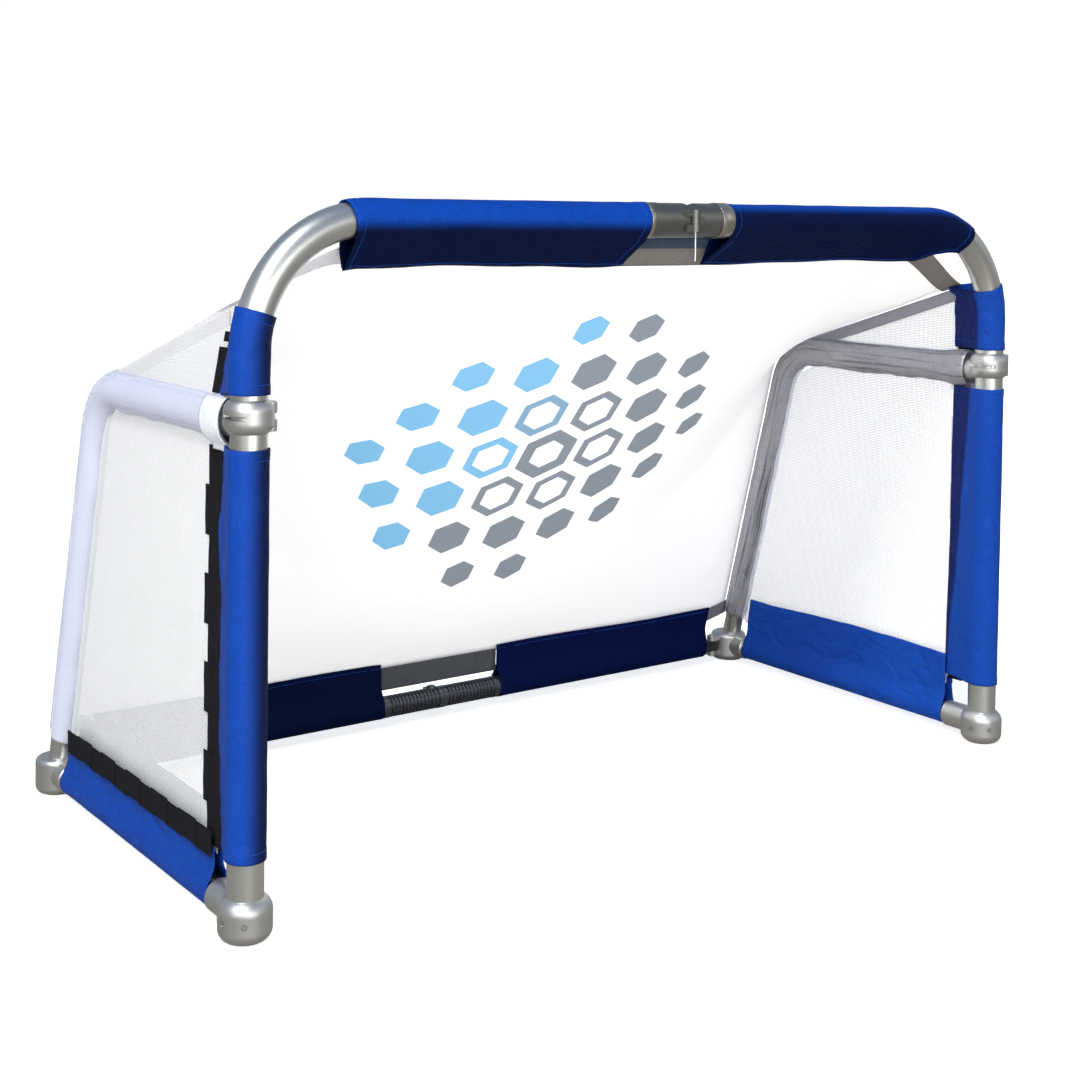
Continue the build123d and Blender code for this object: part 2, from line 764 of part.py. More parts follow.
for side, sign in (("left", -1), ("right", 1)):
    make_hoop_tube(side, sign)
    make_stop_screw(side, sign)
    make_collar(side, sign)
    make_front_foot(side, sign)
    make_foot_screws(side, sign)
    make_rear_foot(side, sign)
    make_rear_pivot_pin(side, sign)
    make_side_tube(side, sign)
    make_base_tube(side, sign)
    make_rear_tube(side, sign)
    make_rear_end_fitting(side, sign)
    make_rear_hinge(side, sign)
    make_top_hinge(side, sign)
    make_crossbar_sleeve(side, sign)
    make_upper_sleeve(side, sign)
    make_lower_sleeve(side, sign)
    make_pocket(side, sign)
    make_side_net(side, sign)
    make_side_skirt(side, sign)
    make_velcro_strips(side, sign)
    make_back_net(side, sign)
    make_bands(side, sign)
    make_rear_skirt(side, sign)

make_rear_hinge_pin()
make_top_hinge_pin()
make_button("top", 7.5, front_y, 956.0, 983.0)
make_button("rear", -24.0, rear_y, rear_height, rear_height + rear_hinge_r + 4)
make_pull_cord()
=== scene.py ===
from math import acos, ceil, copysign, cos, exp, pi, radians, sin, sqrt, tan

import bpy
from mathutils import Matrix, Vector, noise


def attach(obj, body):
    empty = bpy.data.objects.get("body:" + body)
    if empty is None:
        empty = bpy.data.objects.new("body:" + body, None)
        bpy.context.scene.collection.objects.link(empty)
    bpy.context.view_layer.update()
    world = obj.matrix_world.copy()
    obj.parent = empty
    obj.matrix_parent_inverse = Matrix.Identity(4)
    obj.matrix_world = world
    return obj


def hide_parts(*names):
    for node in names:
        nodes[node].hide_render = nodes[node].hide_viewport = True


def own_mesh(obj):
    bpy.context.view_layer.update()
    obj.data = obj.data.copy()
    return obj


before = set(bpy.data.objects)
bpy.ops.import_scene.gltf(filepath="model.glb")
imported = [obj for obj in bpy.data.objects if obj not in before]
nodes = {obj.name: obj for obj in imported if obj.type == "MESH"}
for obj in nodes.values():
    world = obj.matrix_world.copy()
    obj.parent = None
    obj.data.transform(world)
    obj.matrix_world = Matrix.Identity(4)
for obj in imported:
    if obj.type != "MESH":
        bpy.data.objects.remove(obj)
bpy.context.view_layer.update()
SIDES = (("left", -1), ("right", 1))

# ---- frame dimensions shared with the CAD, metres ----
HALF_WIDTH = 0.75
FRONT_Y = -0.345
REAR_Y = 0.345
BAR_Z = 0.96
BEND_R = 0.18
BEND_LENGTH = BEND_R * pi / 2
CORNER_X = HALF_WIDTH - BEND_R
CORNER_Z = BAR_Z - BEND_R
BASE_Z = 0.033
REAR_Z = 0.034
SIDE_Z = 0.688
SIDE_BEND_Y = 0.170
SIDE_BEND_R = 0.090


# ---- camera
def place_camera():
    data = bpy.data.cameras.new("camera")
    data.sensor_width = 36.0
    data.lens = 56.145
    data.shift_x = 0.00102
    data.shift_y = -0.2571
    camera = bpy.data.objects.new("camera", data)
    bpy.context.scene.collection.objects.link(camera)
    right = Vector((0.80758, -0.58960, 0.01379))
    up = Vector((0.00868, 0.03526, 0.99934))
    back = Vector((-0.58970, -0.80692, 0.03359))
    turn = Matrix((right, up, back)).transposed().to_4x4()
    camera.matrix_world = Matrix.Translation((-1.74808, -2.35304, 0.98019)) @ turn
    bpy.context.scene.camera = camera


place_camera()


# ---- node helpers
class Nodes:
    """Short hand for building one node tree."""

    def __init__(self, tree):
        self.tree = tree

    def put(self, socket, value):
        """Link a socket or set it. A colour is given as (red, green, blue)."""
        if isinstance(value, bpy.types.NodeSocket):
            self.tree.links.new(value, socket)
        else:
            socket.default_value = (*value, 1.0) if socket.type == "RGBA" else value

    def add(self, kind, sockets=None, **settings):
        """A new node with its settings made, and its sockets linked or set."""
        node = self.tree.nodes.new(kind)
        for key, value in settings.items():
            setattr(node, key, value)
        for key, value in (sockets or {}).items():
            self.put(node.inputs[key], value)
        return node

    def math(self, operation, *values):
        return self.add("ShaderNodeMath", dict(enumerate(values)), operation=operation).outputs[0]

    def times(self, one, two):
        return self.math("MULTIPLY", one, two)

    def plus(self, one, two):
        return self.math("ADD", one, two)

    def minus(self, one, two):
        return self.math("SUBTRACT", one, two)

    def step(self, value, low, high):
        """0 at low and beyond it, 1 at high and beyond it, smooth between."""
        return self.add("ShaderNodeMapRange", {"Value": value, "From Min": low, "From Max": high},
                        interpolation_type="SMOOTHSTEP").outputs["Result"]

    def mix(self, share, one, two):
        sockets = {"Factor": share, "A": one, "B": two}
        return self.add("ShaderNodeMix", sockets, data_type="RGBA").outputs["Result"]

    def noise(self, vector, scale, detail=2.0, roughness=0.5):
        sockets = {"Vector": vector, "Scale": scale, "Detail": detail, "Roughness": roughness}
        return self.add("ShaderNodeTexNoise", sockets).outputs["Fac"]

    def stretch(self, vector, scale):
        return self.add("ShaderNodeMapping", {"Vector": vector, "Scale": scale}).outputs["Vector"]

    def bump(self, height, distance, strength, below=None):
        sockets = {"Height": height, "Distance": distance, "Strength": strength}
        if below is not None:
            sockets["Normal"] = below
        return self.add("ShaderNodeBump", sockets).outputs["Normal"]


class Material(Nodes):
    """One material's node tree, with its shader."""

    def __init__(self, name):
        self.material = bpy.data.materials.new(name)
        self.material.use_nodes = True
        super().__init__(self.material.node_tree)
        self.shader = self.tree.nodes["Principled BSDF"]

    def place(self):
        """Object coordinates, which are the frame's own."""
        return self.add("ShaderNodeTexCoord").outputs["Object"]

    def cloth_uv(self):
        """The cloth UV in metres, and its two parts: across and along."""
        uv = self.add("ShaderNodeUVMap", uv_map="cloth").outputs["UV"]
        split = self.add("ShaderNodeSeparateXYZ", {0: uv})
        return uv, split.outputs["X"], split.outputs["Y"]

    def crossed(self, across, along, thread):
        """Sine rows both ways, multiplied: one wave to each thread's width."""
        turn = 2.0 * pi / thread
        warp, weft = (self.math("SINE", self.times(value, turn)) for value in (across, along))
        return self.times(warp, weft)

    def finish(self, **sockets):
        for key, value in sockets.items():
            self.put(self.shader.inputs[key.replace("_", " ")], value)
        return self.material


# ---- materials
BLACK = (0.0, 0.0, 0.0)
PRINT_CELL = 0.118              # width of one honeycomb tile, metres
PRINT_CENTRE = (0.005, 0.50)    # across and along the back sheet
PRINT_REACH = (0.385, 0.335)    # half width and half height of the whole print


def metal(name, light, dark, rough, grain, coarse=14.0, metallic=1.0, bump=0.00003):
    """Satin metal: soft tonal drift, fine grain, a little scuffing."""
    m = Material(name)
    place = m.place()
    drift = m.noise(place, coarse, 3.0)
    fine = m.noise(place, grain, 3.0, 0.65)
    scuffs = m.step(m.noise(m.stretch(place, (1.0, 1.0, 3.2)), 85.0, 4.0, 0.7), 0.60, 0.74)
    colour = m.mix(drift, dark, light)
    colour = m.mix(m.times(scuffs, 0.25), colour, [min(1.0, c * 1.25) for c in light])
    roughness = m.math("MULTIPLY_ADD", fine, 0.10, rough - 0.05)
    roughness = m.math("MULTIPLY_ADD", scuffs, 0.07, roughness)
    return m.finish(Base_Color=colour, Roughness=roughness, Metallic=metallic, Normal=m.bump(fine, bump, 0.35))


def moulded(name, colour, lighter, rough, coat=0.0):
    """Moulded plastic with a fine spark-eroded grain and paler worn spots."""
    m = Material(name)
    place = m.place()
    grain = m.noise(place, 900.0)
    wear = m.step(m.noise(place, 60.0, 5.0, 0.7), 0.56, 0.78)
    return m.finish(Base_Color=m.mix(wear, colour, lighter),
                    Roughness=m.math("MULTIPLY_ADD", grain, 0.14, rough - 0.07),
                    Coat_Weight=coat, Coat_Roughness=0.22, Normal=m.bump(grain, 0.00006, 0.6))


def woven(name, base, deep, thread=0.0011, rough=0.62, gloss=0.12, crease=0.0040, metallic=0.0,
          shade=None, streaks=None):
    """Plain-woven cloth with creases.

    shade is (middle, from, to, growth along, colour): painted shade, a darker colour that far across from the
    middle.
    streaks is the colour of dark lines along the cloth."""
    m = Material(name)
    uv, across, along = m.cloth_uv()
    weave = m.math("MULTIPLY_ADD", m.crossed(across, along, thread), 0.5, 0.5)
    slub = m.noise(m.stretch(uv, (900.0, 60.0, 1.0)), 1.0)
    slub_two = m.noise(m.stretch(uv, (60.0, 900.0, 1.0)), 1.0)
    colour = m.mix(m.noise(uv, 9.0, 3.0, 0.6), deep, base)
    # painted shade: away from the middle line the cloth's colour turns to the shade colour
    if shade:
        middle, low, high, growth, tone = shade
        away = m.math("ABSOLUTE", m.minus(across, middle))
        away = m.minus(away, m.times(along, growth))
        colour = m.mix(m.step(away, low, high), colour, tone)
    if streaks:
        lines = m.noise(m.stretch(uv, (110.0, 3.0, 1.0)), 1.0, 3.0, 0.6)
        colour = m.mix(m.times(m.step(lines, 0.50, 0.66), 0.75), colour, streaks)
    darker = m.mix(0.5, colour, BLACK)
    threads = m.times(m.plus(slub, slub_two), 0.5)
    colour = m.mix(m.times(m.minus(1.0, weave), 0.16), colour, darker)
    colour = m.mix(m.step(threads, 0.62, 0.40), colour, m.mix(0.22, colour, BLACK))
    creases = m.noise(m.stretch(uv, (16.0, 7.0, 1.0)), 1.0, 4.0, 0.62)
    pinched = m.math("ABSOLUTE", m.minus(m.noise(m.stretch(uv, (13.0, 9.0, 1.0)), 1.0), 0.5))
    creases = m.plus(creases, m.times(m.step(pinched, 0.0, 0.07), 0.35))
    return m.finish(Base_Color=colour, Roughness=m.math("MULTIPLY_ADD", threads, 0.16, rough - 0.08),
                    Specular_IOR_Level=gloss, Metallic=metallic,
                    Normal=m.bump(weave, 0.00012, 0.5, m.bump(creases, crease, 0.6)))


def printed_cloth():
    """White back sheet with a plain honeycomb print that thins out towards its rim, and a faint painted glow."""
    m = Material("back_cloth")
    uv, across, along = m.cloth_uv()
    weave = m.math("MULTIPLY_ADD", m.crossed(across, along, 0.0014), 0.5, 0.5)
    cloudy = m.noise(uv, 5.0, 3.0)
    tall = sqrt(3.0)
    x = m.math("DIVIDE", m.minus(across, PRINT_CENTRE[0]), PRINT_CELL)
    y = m.math("DIVIDE", m.minus(along, PRINT_CENTRE[1]), PRINT_CELL)

    def folded(value, shift, period):
        return m.minus(m.math("FLOORED_MODULO", m.minus(value, shift), period), period / 2)

    def squared(one, two):
        return m.plus(m.times(one, one), m.times(two, two))

    # the two interleaved grids of tile centres, and the place inside the nearer one's tile
    first = (folded(x, 0.0, 1.0), folded(y, 0.0, tall))
    second = (folded(x, 0.5, 1.0), folded(y, tall / 2, tall))
    nearer = m.math("LESS_THAN", squared(*first), squared(*second))
    inside = [m.plus(two, m.times(nearer, m.minus(one, two))) for one, two in zip(first, second)]
    ax = m.math("ABSOLUTE", inside[0])
    ay = m.math("ABSOLUTE", inside[1])
    hexagon = m.math("MAXIMUM", ax, m.plus(m.times(ax, 0.5), m.times(ay, tall / 2)))
    tile_x = m.minus(x, inside[0])
    tile_y = m.minus(y, inside[1])
    out = m.math("SQRT", squared(m.math("DIVIDE", tile_x, PRINT_REACH[0] / PRINT_CELL),
                                 m.math("DIVIDE", tile_y, PRINT_REACH[1] / PRINT_CELL)))
    size = m.math("MULTIPLY_ADD", out, -0.22, 0.46)
    tile = m.times(m.step(m.minus(size, hexagon), -0.008, 0.008), m.math("LESS_THAN", out, 1.0))
    hollow = m.times(m.step(hexagon, 0.262, 0.246), m.step(out, 0.44, 0.40))
    tile = m.minus(tile, hollow)
    leftward = m.step(m.plus(tile_x, m.times(tile_y, 0.35)), -0.7, -0.9)
    white = m.mix(cloudy, (0.92, 0.92, 0.93), (0.95, 0.95, 0.95))
    ink = m.mix(leftward, (0.215, 0.245, 0.285), (0.19, 0.46, 0.71))
    colour = m.mix(m.times(weave, 0.04), m.mix(tile, white, ink), (0.3, 0.3, 0.32))
    creases = m.noise(m.stretch(uv, (5.0, 3.0, 1.0)), 1.0, 3.0)
    # Painted light: the sheet glows faintly in its own colour, for the light that shines through the cloth.
    return m.finish(Base_Color=colour, Roughness=0.7, Specular_IOR_Level=0.2,
                    Normal=m.bump(weave, 0.0001, 0.4, m.bump(creases, 0.003, 0.2)),
                    Emission_Color=colour, Emission_Strength=0.23)


def hook_tape(name):
    """Black hook tape: rows of small hooks."""
    m = Material(name)
    uv, across, along = m.cloth_uv()
    height = m.plus(m.crossed(across, along, 0.0016), m.noise(uv, 1400.0))
    colour = m.mix(m.step(height, -0.2, 1.3), (0.006, 0.006, 0.007), (0.016, 0.0165, 0.020))
    return m.finish(Base_Color=colour, Roughness=0.85, Specular_IOR_Level=0.08,
                    Normal=m.bump(height, 0.0003, 0.8))


def yarn(name, base, deep):
    """Knitted net yarn, for meshes made of real threads."""
    m = Material(name)
    place = m.place()
    fine = m.noise(place, 700.0)
    cloudy = m.noise(place, 12.0, 3.0)
    colour = m.mix(m.math("MULTIPLY_ADD", fine, 0.5, m.times(cloudy, 0.5)), deep, base)
    return m.finish(Base_Color=colour, Roughness=0.55, Specular_IOR_Level=0.2, Normal=m.bump(fine, 0.0002, 0.5))


TUBE = metal("satin_tube", (0.66, 0.66, 0.64), (0.56, 0.56, 0.54), 0.34, 650.0)
CASTING = metal("cast_metal", (0.60, 0.60, 0.59), (0.48, 0.48, 0.47), 0.45, 420.0, 30.0, bump=0.00007)
BAND_METAL = metal("band_metal", (0.43, 0.405, 0.35), (0.33, 0.31, 0.265), 0.30, 420.0, 26.0, 0.95)
HINGE_METAL = metal("hinge_metal", (0.175, 0.18, 0.165), (0.12, 0.125, 0.115), 0.36, 420.0, 26.0, 0.85, 0.00008)
STEEL = metal("plated_steel", (0.55, 0.55, 0.55), (0.42, 0.42, 0.43), 0.28, 900.0, 60.0)
RIBBED = moulded("ribbed_plastic", (0.020, 0.023, 0.034), (0.06, 0.065, 0.08), 0.26, 0.8)
FITTING = moulded("dark_plastic", (0.020, 0.020, 0.022), (0.045, 0.045, 0.05), 0.46)
BUTTON = moulded("button_plastic", (0.012, 0.012, 0.014), (0.03, 0.03, 0.033), 0.38, 0.2)
BLUE_LIT = (0.0035, 0.058, 0.37)
BLUE_DEEP = (0.0028, 0.045, 0.31)
# Painted shade: a navy that stands for the blue cloth where it lies in shadow.
PAINTED_SHADE_NAVY = (0.0008, 0.0055, 0.038)
PAINTED_SHADE_NAVY_DEEP = (0.0006, 0.0040, 0.029)
# Painted shade: the inner flaps of the right post wraps, which lie in shadow.
INNER_FLAP_PAINTED_SHADE = (0.0010, 0.0100, 0.105)
# Painted shade: the inner half of the left post wraps, darkened away from the light.
INNER_HALF_PAINTED_SHADE = (0.0010, 0.0075, 0.052)
BLUE = woven("blue_cloth", BLUE_LIT, BLUE_DEEP, crease=0.0085)
# Painted shade: the rear skirts' blue cloth in shadow, the right one a little lighter where more light reaches
# it.
REAR_LEFT_SHADE_CLOTH = woven("navy_cloth", PAINTED_SHADE_NAVY, PAINTED_SHADE_NAVY_DEEP, gloss=0.04)
REAR_RIGHT_SHADE_CLOTH = woven("rear_cloth_right", (0.0010, 0.0075, 0.060), (0.0007, 0.005, 0.044), gloss=0.04)
# Painted shade: this grey and the two below stand for the white hem tape where it lies in shadow.
TAPE_PAINTED_SHADE = woven("grey_cloth", (0.22, 0.208, 0.188), (0.19, 0.178, 0.162), 0.0013, 0.7)
REAR_TAPE_PAINTED_SHADE = woven("dark_grey_cloth", (0.088, 0.092, 0.105), (0.068, 0.072, 0.082), 0.0013, 0.7)
ROOF_HEM_PAINTED_SHADE = woven("lilac_grey_cloth", (0.30, 0.30, 0.34), (0.24, 0.24, 0.275), 0.0013, 0.6)
# Painted shade: the dark band of cloth under the top hinge, in the hinge's shadow.
UNDER_HINGE_PAINTED_SHADE = woven("edging_cloth", (0.060, 0.085, 0.125), (0.045, 0.066, 0.100), 0.0011, 0.6, gloss=0.06)
# Painted shade: the white corner hem tape where it lies in shadow.
CORNER_HEM_PAINTED_SHADE = woven("corner_grey_cloth", (0.215, 0.215, 0.255), (0.180, 0.180, 0.215), 0.0013, 0.65)
# Painted shade: a grey sheet inside the pocket for its inner side in shadow.
POCKET_PAINTED_SHADE = woven("lining_cloth", (0.46, 0.46, 0.50), (0.30, 0.30, 0.335), 0.0013, 0.40, 0.5,
               streaks=(0.07, 0.072, 0.09), metallic=0.5)
WHITE_CLOTH = woven("white_cloth", (0.86, 0.87, 0.90), (0.80, 0.81, 0.85), 0.0013, 0.6)
BACK = printed_cloth()
HOOKS = hook_tape("hook_tape")
MESH_YARN = yarn("mesh_yarn", (0.78, 0.78, 0.78), (0.69, 0.69, 0.69))
POCKET_YARN = yarn("pocket_yarn", (0.76, 0.78, 0.91), (0.66, 0.68, 0.84))
BLUE_THREAD = yarn("blue_thread", (0.007, 0.080, 0.44), (0.005, 0.062, 0.37))
WHITE_THREAD = yarn("white_thread", (0.80, 0.80, 0.80), (0.70, 0.70, 0.70))

NODE_MATERIALS = (
    (TUBE, ("hoop_tube", "side_tube", "base_tube", "rear_tube")),
    (CASTING, ("collar", "front_foot", "rear_foot")),
    (HINGE_METAL, ("top_hinge",)), (RIBBED, ("rear_hinge",)), (FITTING, ("rear_end_fitting",)),
    (BUTTON, ("top_release_button", "rear_release_button")),
    (STEEL, ("top_hinge_pin", "rear_hinge_pin", "stop_screw", "foot_screws", "rear_pivot_pin",
             "top_button_spring", "rear_button_spring")),
)
for material, stems in NODE_MATERIALS:
    for node_name, node in nodes.items():
        if node_name.replace("_left", "").replace("_right", "") in stems:
            node.data.materials.clear()
            node.data.materials.append(material)


# ---- mesh helpers
def mesh_object(name, points, faces, material, uvs=None, smooth=True):
    mesh = bpy.data.meshes.new(name)
    mesh.from_pydata([tuple(p) for p in points], [], faces)
    if uvs:
        layer = mesh.uv_layers.new(name="cloth")
        for face in mesh.polygons:
            for loop in face.loop_indices:
                layer.data[loop].uv = uvs[loop]
    mesh.materials.append(material)
    mesh.validate()
    for face in mesh.polygons:
        face.use_smooth = smooth
    piece = bpy.data.objects.new(name, mesh)
    bpy.context.scene.collection.objects.link(piece)
    return piece


def quads(base, count, spans, closed=False):
    """Faces between successive lines of count vertices each, from vertex number base on."""
    faces = []
    for start in range(base, base + spans * count, count):
        for number in range(count if closed else count - 1):
            a = start + number
            b = start + (number + 1) % count
            faces.append((a, b, b + count, a + count))
    return faces


def grid(name, rows, material, closed=False, thick=0.0008):
    """Cloth from rows of points. The cloth UV is in metres: across a row, then along the rows.

    A closed cloth gets its thickness on the inside, an open one on both sides."""
    count = len(rows[0])
    spans = count if closed else count - 1
    points = [p for row in rows for p in row]
    across = [0.0]
    middle = rows[len(rows) // 2]
    for number in range(spans):
        across.append(across[-1] + (middle[(number + 1) % count] - middle[number]).length)
    along = [0.0]
    for before, after in zip(rows, rows[1:]):
        centre = sum(((b - a).length for a, b in zip(before, after)), 0.0) / count
        along.append(along[-1] + centre)
    uvs = []
    for low, high in zip(along, along[1:]):
        for left, right in zip(across, across[1:]):
            uvs += [(left, low), (right, low), (right, high), (left, high)]
    piece = mesh_object(name, points, quads(0, count, len(rows) - 1, closed), material, uvs)
    solid = piece.modifiers.new("thickness", "SOLIDIFY")
    solid.thickness = thick
    solid.offset = -1.0 if closed else 0.0
    solid.use_even_offset = True
    return piece


def rows_of(lines, columns, point):
    """A cloth's rows of points: point(line, column) for all of them, counted in spans."""
    return [[point(line, column) for column in range(columns + 1)] for line in range(lines + 1)]


def ripple(x, y, seed, octaves=3):
    return noise.fractal(Vector((x, y, seed * 7.31)), 0.9, 2.1, octaves, noise_basis="PERLIN_ORIGINAL")


def smooth_step(value, low, high):
    share = max(0.0, min(1.0, (value - low) / (high - low)))
    return share * share * (3.0 - 2.0 * share)


def assign(piece, body, slot_name, *replaces):
    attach(piece, body)
    if replaces:
        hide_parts(*replaces)


def cloth_piece(piece, body, slot_name, flat, held, rests_on, *replaces):
    assign(piece, body, slot_name, *replaces)


def flat_of(rows, closed=False):
    """Width and length of a grid's cut, rounded up to the millimetre with up to one to spare."""
    def run(points, loop):
        total = sum((b - a).length for a, b in zip(points, points[1:]))
        return total + ((points[0] - points[-1]).length if loop else 0.0)
    width = max(run(row, closed) for row in rows)
    length = max(run([row[n] for row in rows], False) for n in range(0, len(rows[0]), 4))
    return (ceil(width * 1000 + 1) / 1000, ceil(length * 1000 + 1) / 1000)


STITCH_PITCH = 0.0042
STITCH_R = 0.00042


def stitches(name, points, normals, body, slot_name, material):
    """A seam's thread: short five-sided stitches laid end to end along a line."""
    line = [Vector(p) for p in points]
    ups = [Vector(n).normalized() for n in normals]
    lengths = [0.0]
    for a, b in zip(line, line[1:]):
        lengths.append(lengths[-1] + (b - a).length)
    verts = []
    faces = []

    def at(distance):
        index = max(i for i in range(len(lengths) - 1) if lengths[i] <= distance + 1e-9)
        span = max(lengths[index + 1] - lengths[index], 1e-9)
        share = min(1.0, (distance - lengths[index]) / span)
        return (line[index].lerp(line[index + 1], share),
                (line[index + 1] - line[index]).normalized(),
                ups[index].lerp(ups[index + 1], share).normalized())

    for number in range(int(lengths[-1] / STITCH_PITCH)):
        start = len(verts)
        for share, lift in ((0.08, 0.0), (0.28, 1.0), (0.62, 1.0), (0.82, 0.0)):
            centre, direction, up = at((number + share) * STITCH_PITCH)
            side = direction.cross(up).normalized()
            radius = STITCH_R if lift else STITCH_R * 0.45
            for corner in range(5):
                angle = 2 * pi * corner / 5
                verts.append(centre + up * (STITCH_R * 0.7 * lift + radius * cos(angle))
                             + side * radius * sin(angle))
        faces += quads(start, 5, 3, closed=True)
        faces += [tuple(range(start + 4, start - 1, -1)), tuple(range(start + 15, start + 20))]
    piece = mesh_object(name, verts, faces, material)
    assign(piece, body, slot_name)
    return piece


def seam(name, body, rows, lift, column=None, row=None):
    """Stitches along one column or round one row of a wrapped piece, on its outside."""
    spots = [(n, column) for n in range(len(rows))] if row is None else [(row, c) for c in range(len(rows[0]))]
    points = []
    normals = []
    for n, c in spots:
        along = rows[min(n + 1, len(rows) - 1)][c] - rows[max(n - 1, 0)][c]
        last = len(rows[n]) - 1
        around = rows[n][min(c + 1, last)] - rows[n][max(c - 1, 0)]
        normal = along.cross(around).normalized()
        centre = sum(rows[n], Vector()) / len(rows[n])
        if normal.dot(rows[n][c] - centre) < 0:
            normal = -normal
        points.append(rows[n][c] + normal * lift)
        normals.append(normal)
    stitches(name, points, normals, body, "blue_cloth", BLUE_THREAD)


def hem_seams(stem, words, side, body, rows, lift, column=None):
    """Stitches along a column, and round a wrapped piece's two hems."""
    if column is not None:
        seam("%s_edge_seam_%s" % (stem, side), body, rows, lift, column=column)
    for word, row in zip(words, (3, len(rows) - 4)):
        seam("%s_%s_seam_%s" % (stem, word, side), body, rows, lift, row=row)


# ---- routes
def hoop_at(sign, distance):
    """Axis point, direction and outward normal of a hoop half, from the crossbar's middle outwards."""
    if distance <= CORNER_X:
        return Vector((sign * distance, FRONT_Y, BAR_Z)), Vector((sign, 0, 0)), Vector((0, 0, 1))
    if distance <= CORNER_X + BEND_LENGTH:
        angle = (distance - CORNER_X) / BEND_R
        centre = Vector((sign * (CORNER_X + BEND_R * sin(angle)), FRONT_Y,
                         CORNER_Z + BEND_R * cos(angle)))
        return (centre, Vector((sign * cos(angle), 0, -sin(angle))),
                Vector((sign * sin(angle), 0, cos(angle))))
    low = CORNER_Z - (distance - CORNER_X - BEND_LENGTH)
    return Vector((sign * HALF_WIDTH, FRONT_Y, low)), Vector((0, 0, -1)), Vector((sign, 0, 0))


def hoop_distance(z):
    """Distance along the hoop at a height of the post or bend."""
    if z >= CORNER_Z:
        return CORNER_X + BEND_R * acos((z - CORNER_Z) / BEND_R)
    return CORNER_X + BEND_LENGTH + CORNER_Z - z


def side_axis(length):
    """Point and direction on the side tube's axis, by length from the collar's post axis."""
    upright = Vector((0, REAR_Y - SIDE_BEND_Y, 0.020 - SIDE_Z)).normalized()
    turn = acos(upright.y)
    tangent = SIDE_BEND_R * tan(turn / 2)
    first = SIDE_BEND_Y - FRONT_Y - tangent
    arc = SIDE_BEND_R * turn
    if length <= first:
        return Vector((0, FRONT_Y + length, SIDE_Z)), Vector((0, 1, 0))
    if length <= first + arc:
        angle = (length - first) / SIDE_BEND_R
        point = Vector((0, SIDE_BEND_Y - tangent + SIDE_BEND_R * sin(angle),
                        SIDE_Z - SIDE_BEND_R + SIDE_BEND_R * cos(angle)))
        return point, Vector((0, cos(angle), -sin(angle)))
    corner = Vector((0, SIDE_BEND_Y, SIDE_Z))
    return corner + upright * (tangent + length - first - arc), upright


def side_length_at(z):
    """Length along the side tube's axis where the upright is at a height."""
    low = 0.4
    high = 1.4
    for _ in range(40):
        middle = (low + high) / 2
        if side_axis(middle)[0].z > z:
            low = middle
        else:
            high = middle
    return low


# ---- wraps round the hoop
WRAP_COUNT = 76           # points round a wrap, counted from its sewn edge
CLOTH = 0.0009            # thickness of the sleeves, the skirts and the back sheet


def teardrop(radius, reach, count):
    """Section of cloth wrapped round a tube and sewn to itself: points as (point, normal, run from the edge)."""
    lean = acos(radius / reach)
    straight = sqrt(reach * reach - radius * radius)
    arc = radius * (2 * pi - 2 * lean)
    total = 2 * straight + arc
    section = []
    for number in range(count):
        run = total * number / count
        if run < straight:
            share = run / straight
            tip = Vector((reach, 0.0008))
            touch = Vector((radius * cos(lean), radius * sin(lean)))
            point = tip.lerp(touch, share)
            normal = Vector((cos(lean), sin(lean)))
        elif run <= straight + arc:
            angle = lean + (run - straight) / radius
            normal = Vector((cos(angle), sin(angle)))
            point = normal * radius
        else:
            share = (run - straight - arc) / straight
            touch = Vector((radius * cos(lean), -radius * sin(lean)))
            point = touch.lerp(Vector((reach, -0.0008)), share)
            normal = Vector((cos(lean), -sin(lean)))
        section.append((point, normal, run))
    return section


def wrap(sign, start, stop, towards_edge, radius, seed, reach, shear=(0.0, 0.0), wrinkle=1.0):
    """Rows of cloth wrapped round the hoop from start to stop along it.

    towards_edge(outward) points to the sewn edge, reach(share) says how far off it is,
    shear moves that edge along the hoop at either end."""
    steps = max(12, int(abs(stop - start) / 0.0045))
    head, tail = shear
    rows = []
    for step in range(steps + 1):
        share = step / steps
        length = reach(share)
        ends = min(share, 1 - share) * abs(stop - start)
        hem = 0.0006 * (1 - smooth_step(ends, 0.0095, 0.0115)) - 0.0004 * exp(-((ends - 0.0115) / 0.0012) ** 2)
        row = []
        for point, normal, run in teardrop(radius, length, WRAP_COUNT):
            beyond = max(0.0, point.x - radius) / max(length - radius, 1e-6)
            distance = start + (stop - start) * share
            distance += head * beyond * (1 - share) + tail * beyond * share
            centre, direction, outward = hoop_at(sign, distance)
            along = towards_edge(outward)
            side = direction.cross(along).normalized() * sign
            flapness = smooth_step(point.x, -0.01, length * 0.8)
            fold = ripple(distance * 9.0, run * 14.0, seed)
            pleat = ripple(distance * 34.0, run * 5.0, seed + 3)
            lift = wrinkle * (0.0009 * abs(fold) + flapness * (0.0030 * fold + 0.0012 * pleat))
            lift *= 1.0 - smooth_step(point.x, length - 0.006, length)
            where = point + normal * (lift + hem)
            row.append(centre + along * where.x + side * where.y)
        rows.append(row)
    return rows


def back_and_down(outward):
    """Where the crossbar's wrap is sewn together: below and a little behind the bar."""
    return (Vector((0, 0.026, 0)) - outward * 0.070).normalized()


def backward(outward):
    return Vector((0, 1, 0))


def bar_reach(share):
    return 0.0742 + 0.0022 * sin(6.0 * share + 1.0) + 0.0008 * sin(17.0 * share)


def hoop_wrap(name, side, body, rows, material, replaces):
    piece = grid(name + side, rows, material, closed=True, thick=CLOTH)
    cloth_piece(piece, body + side, "blue_cloth", flat_of(rows, True), "stretched",
                ["hoop_tube_" + side], replaces + side)


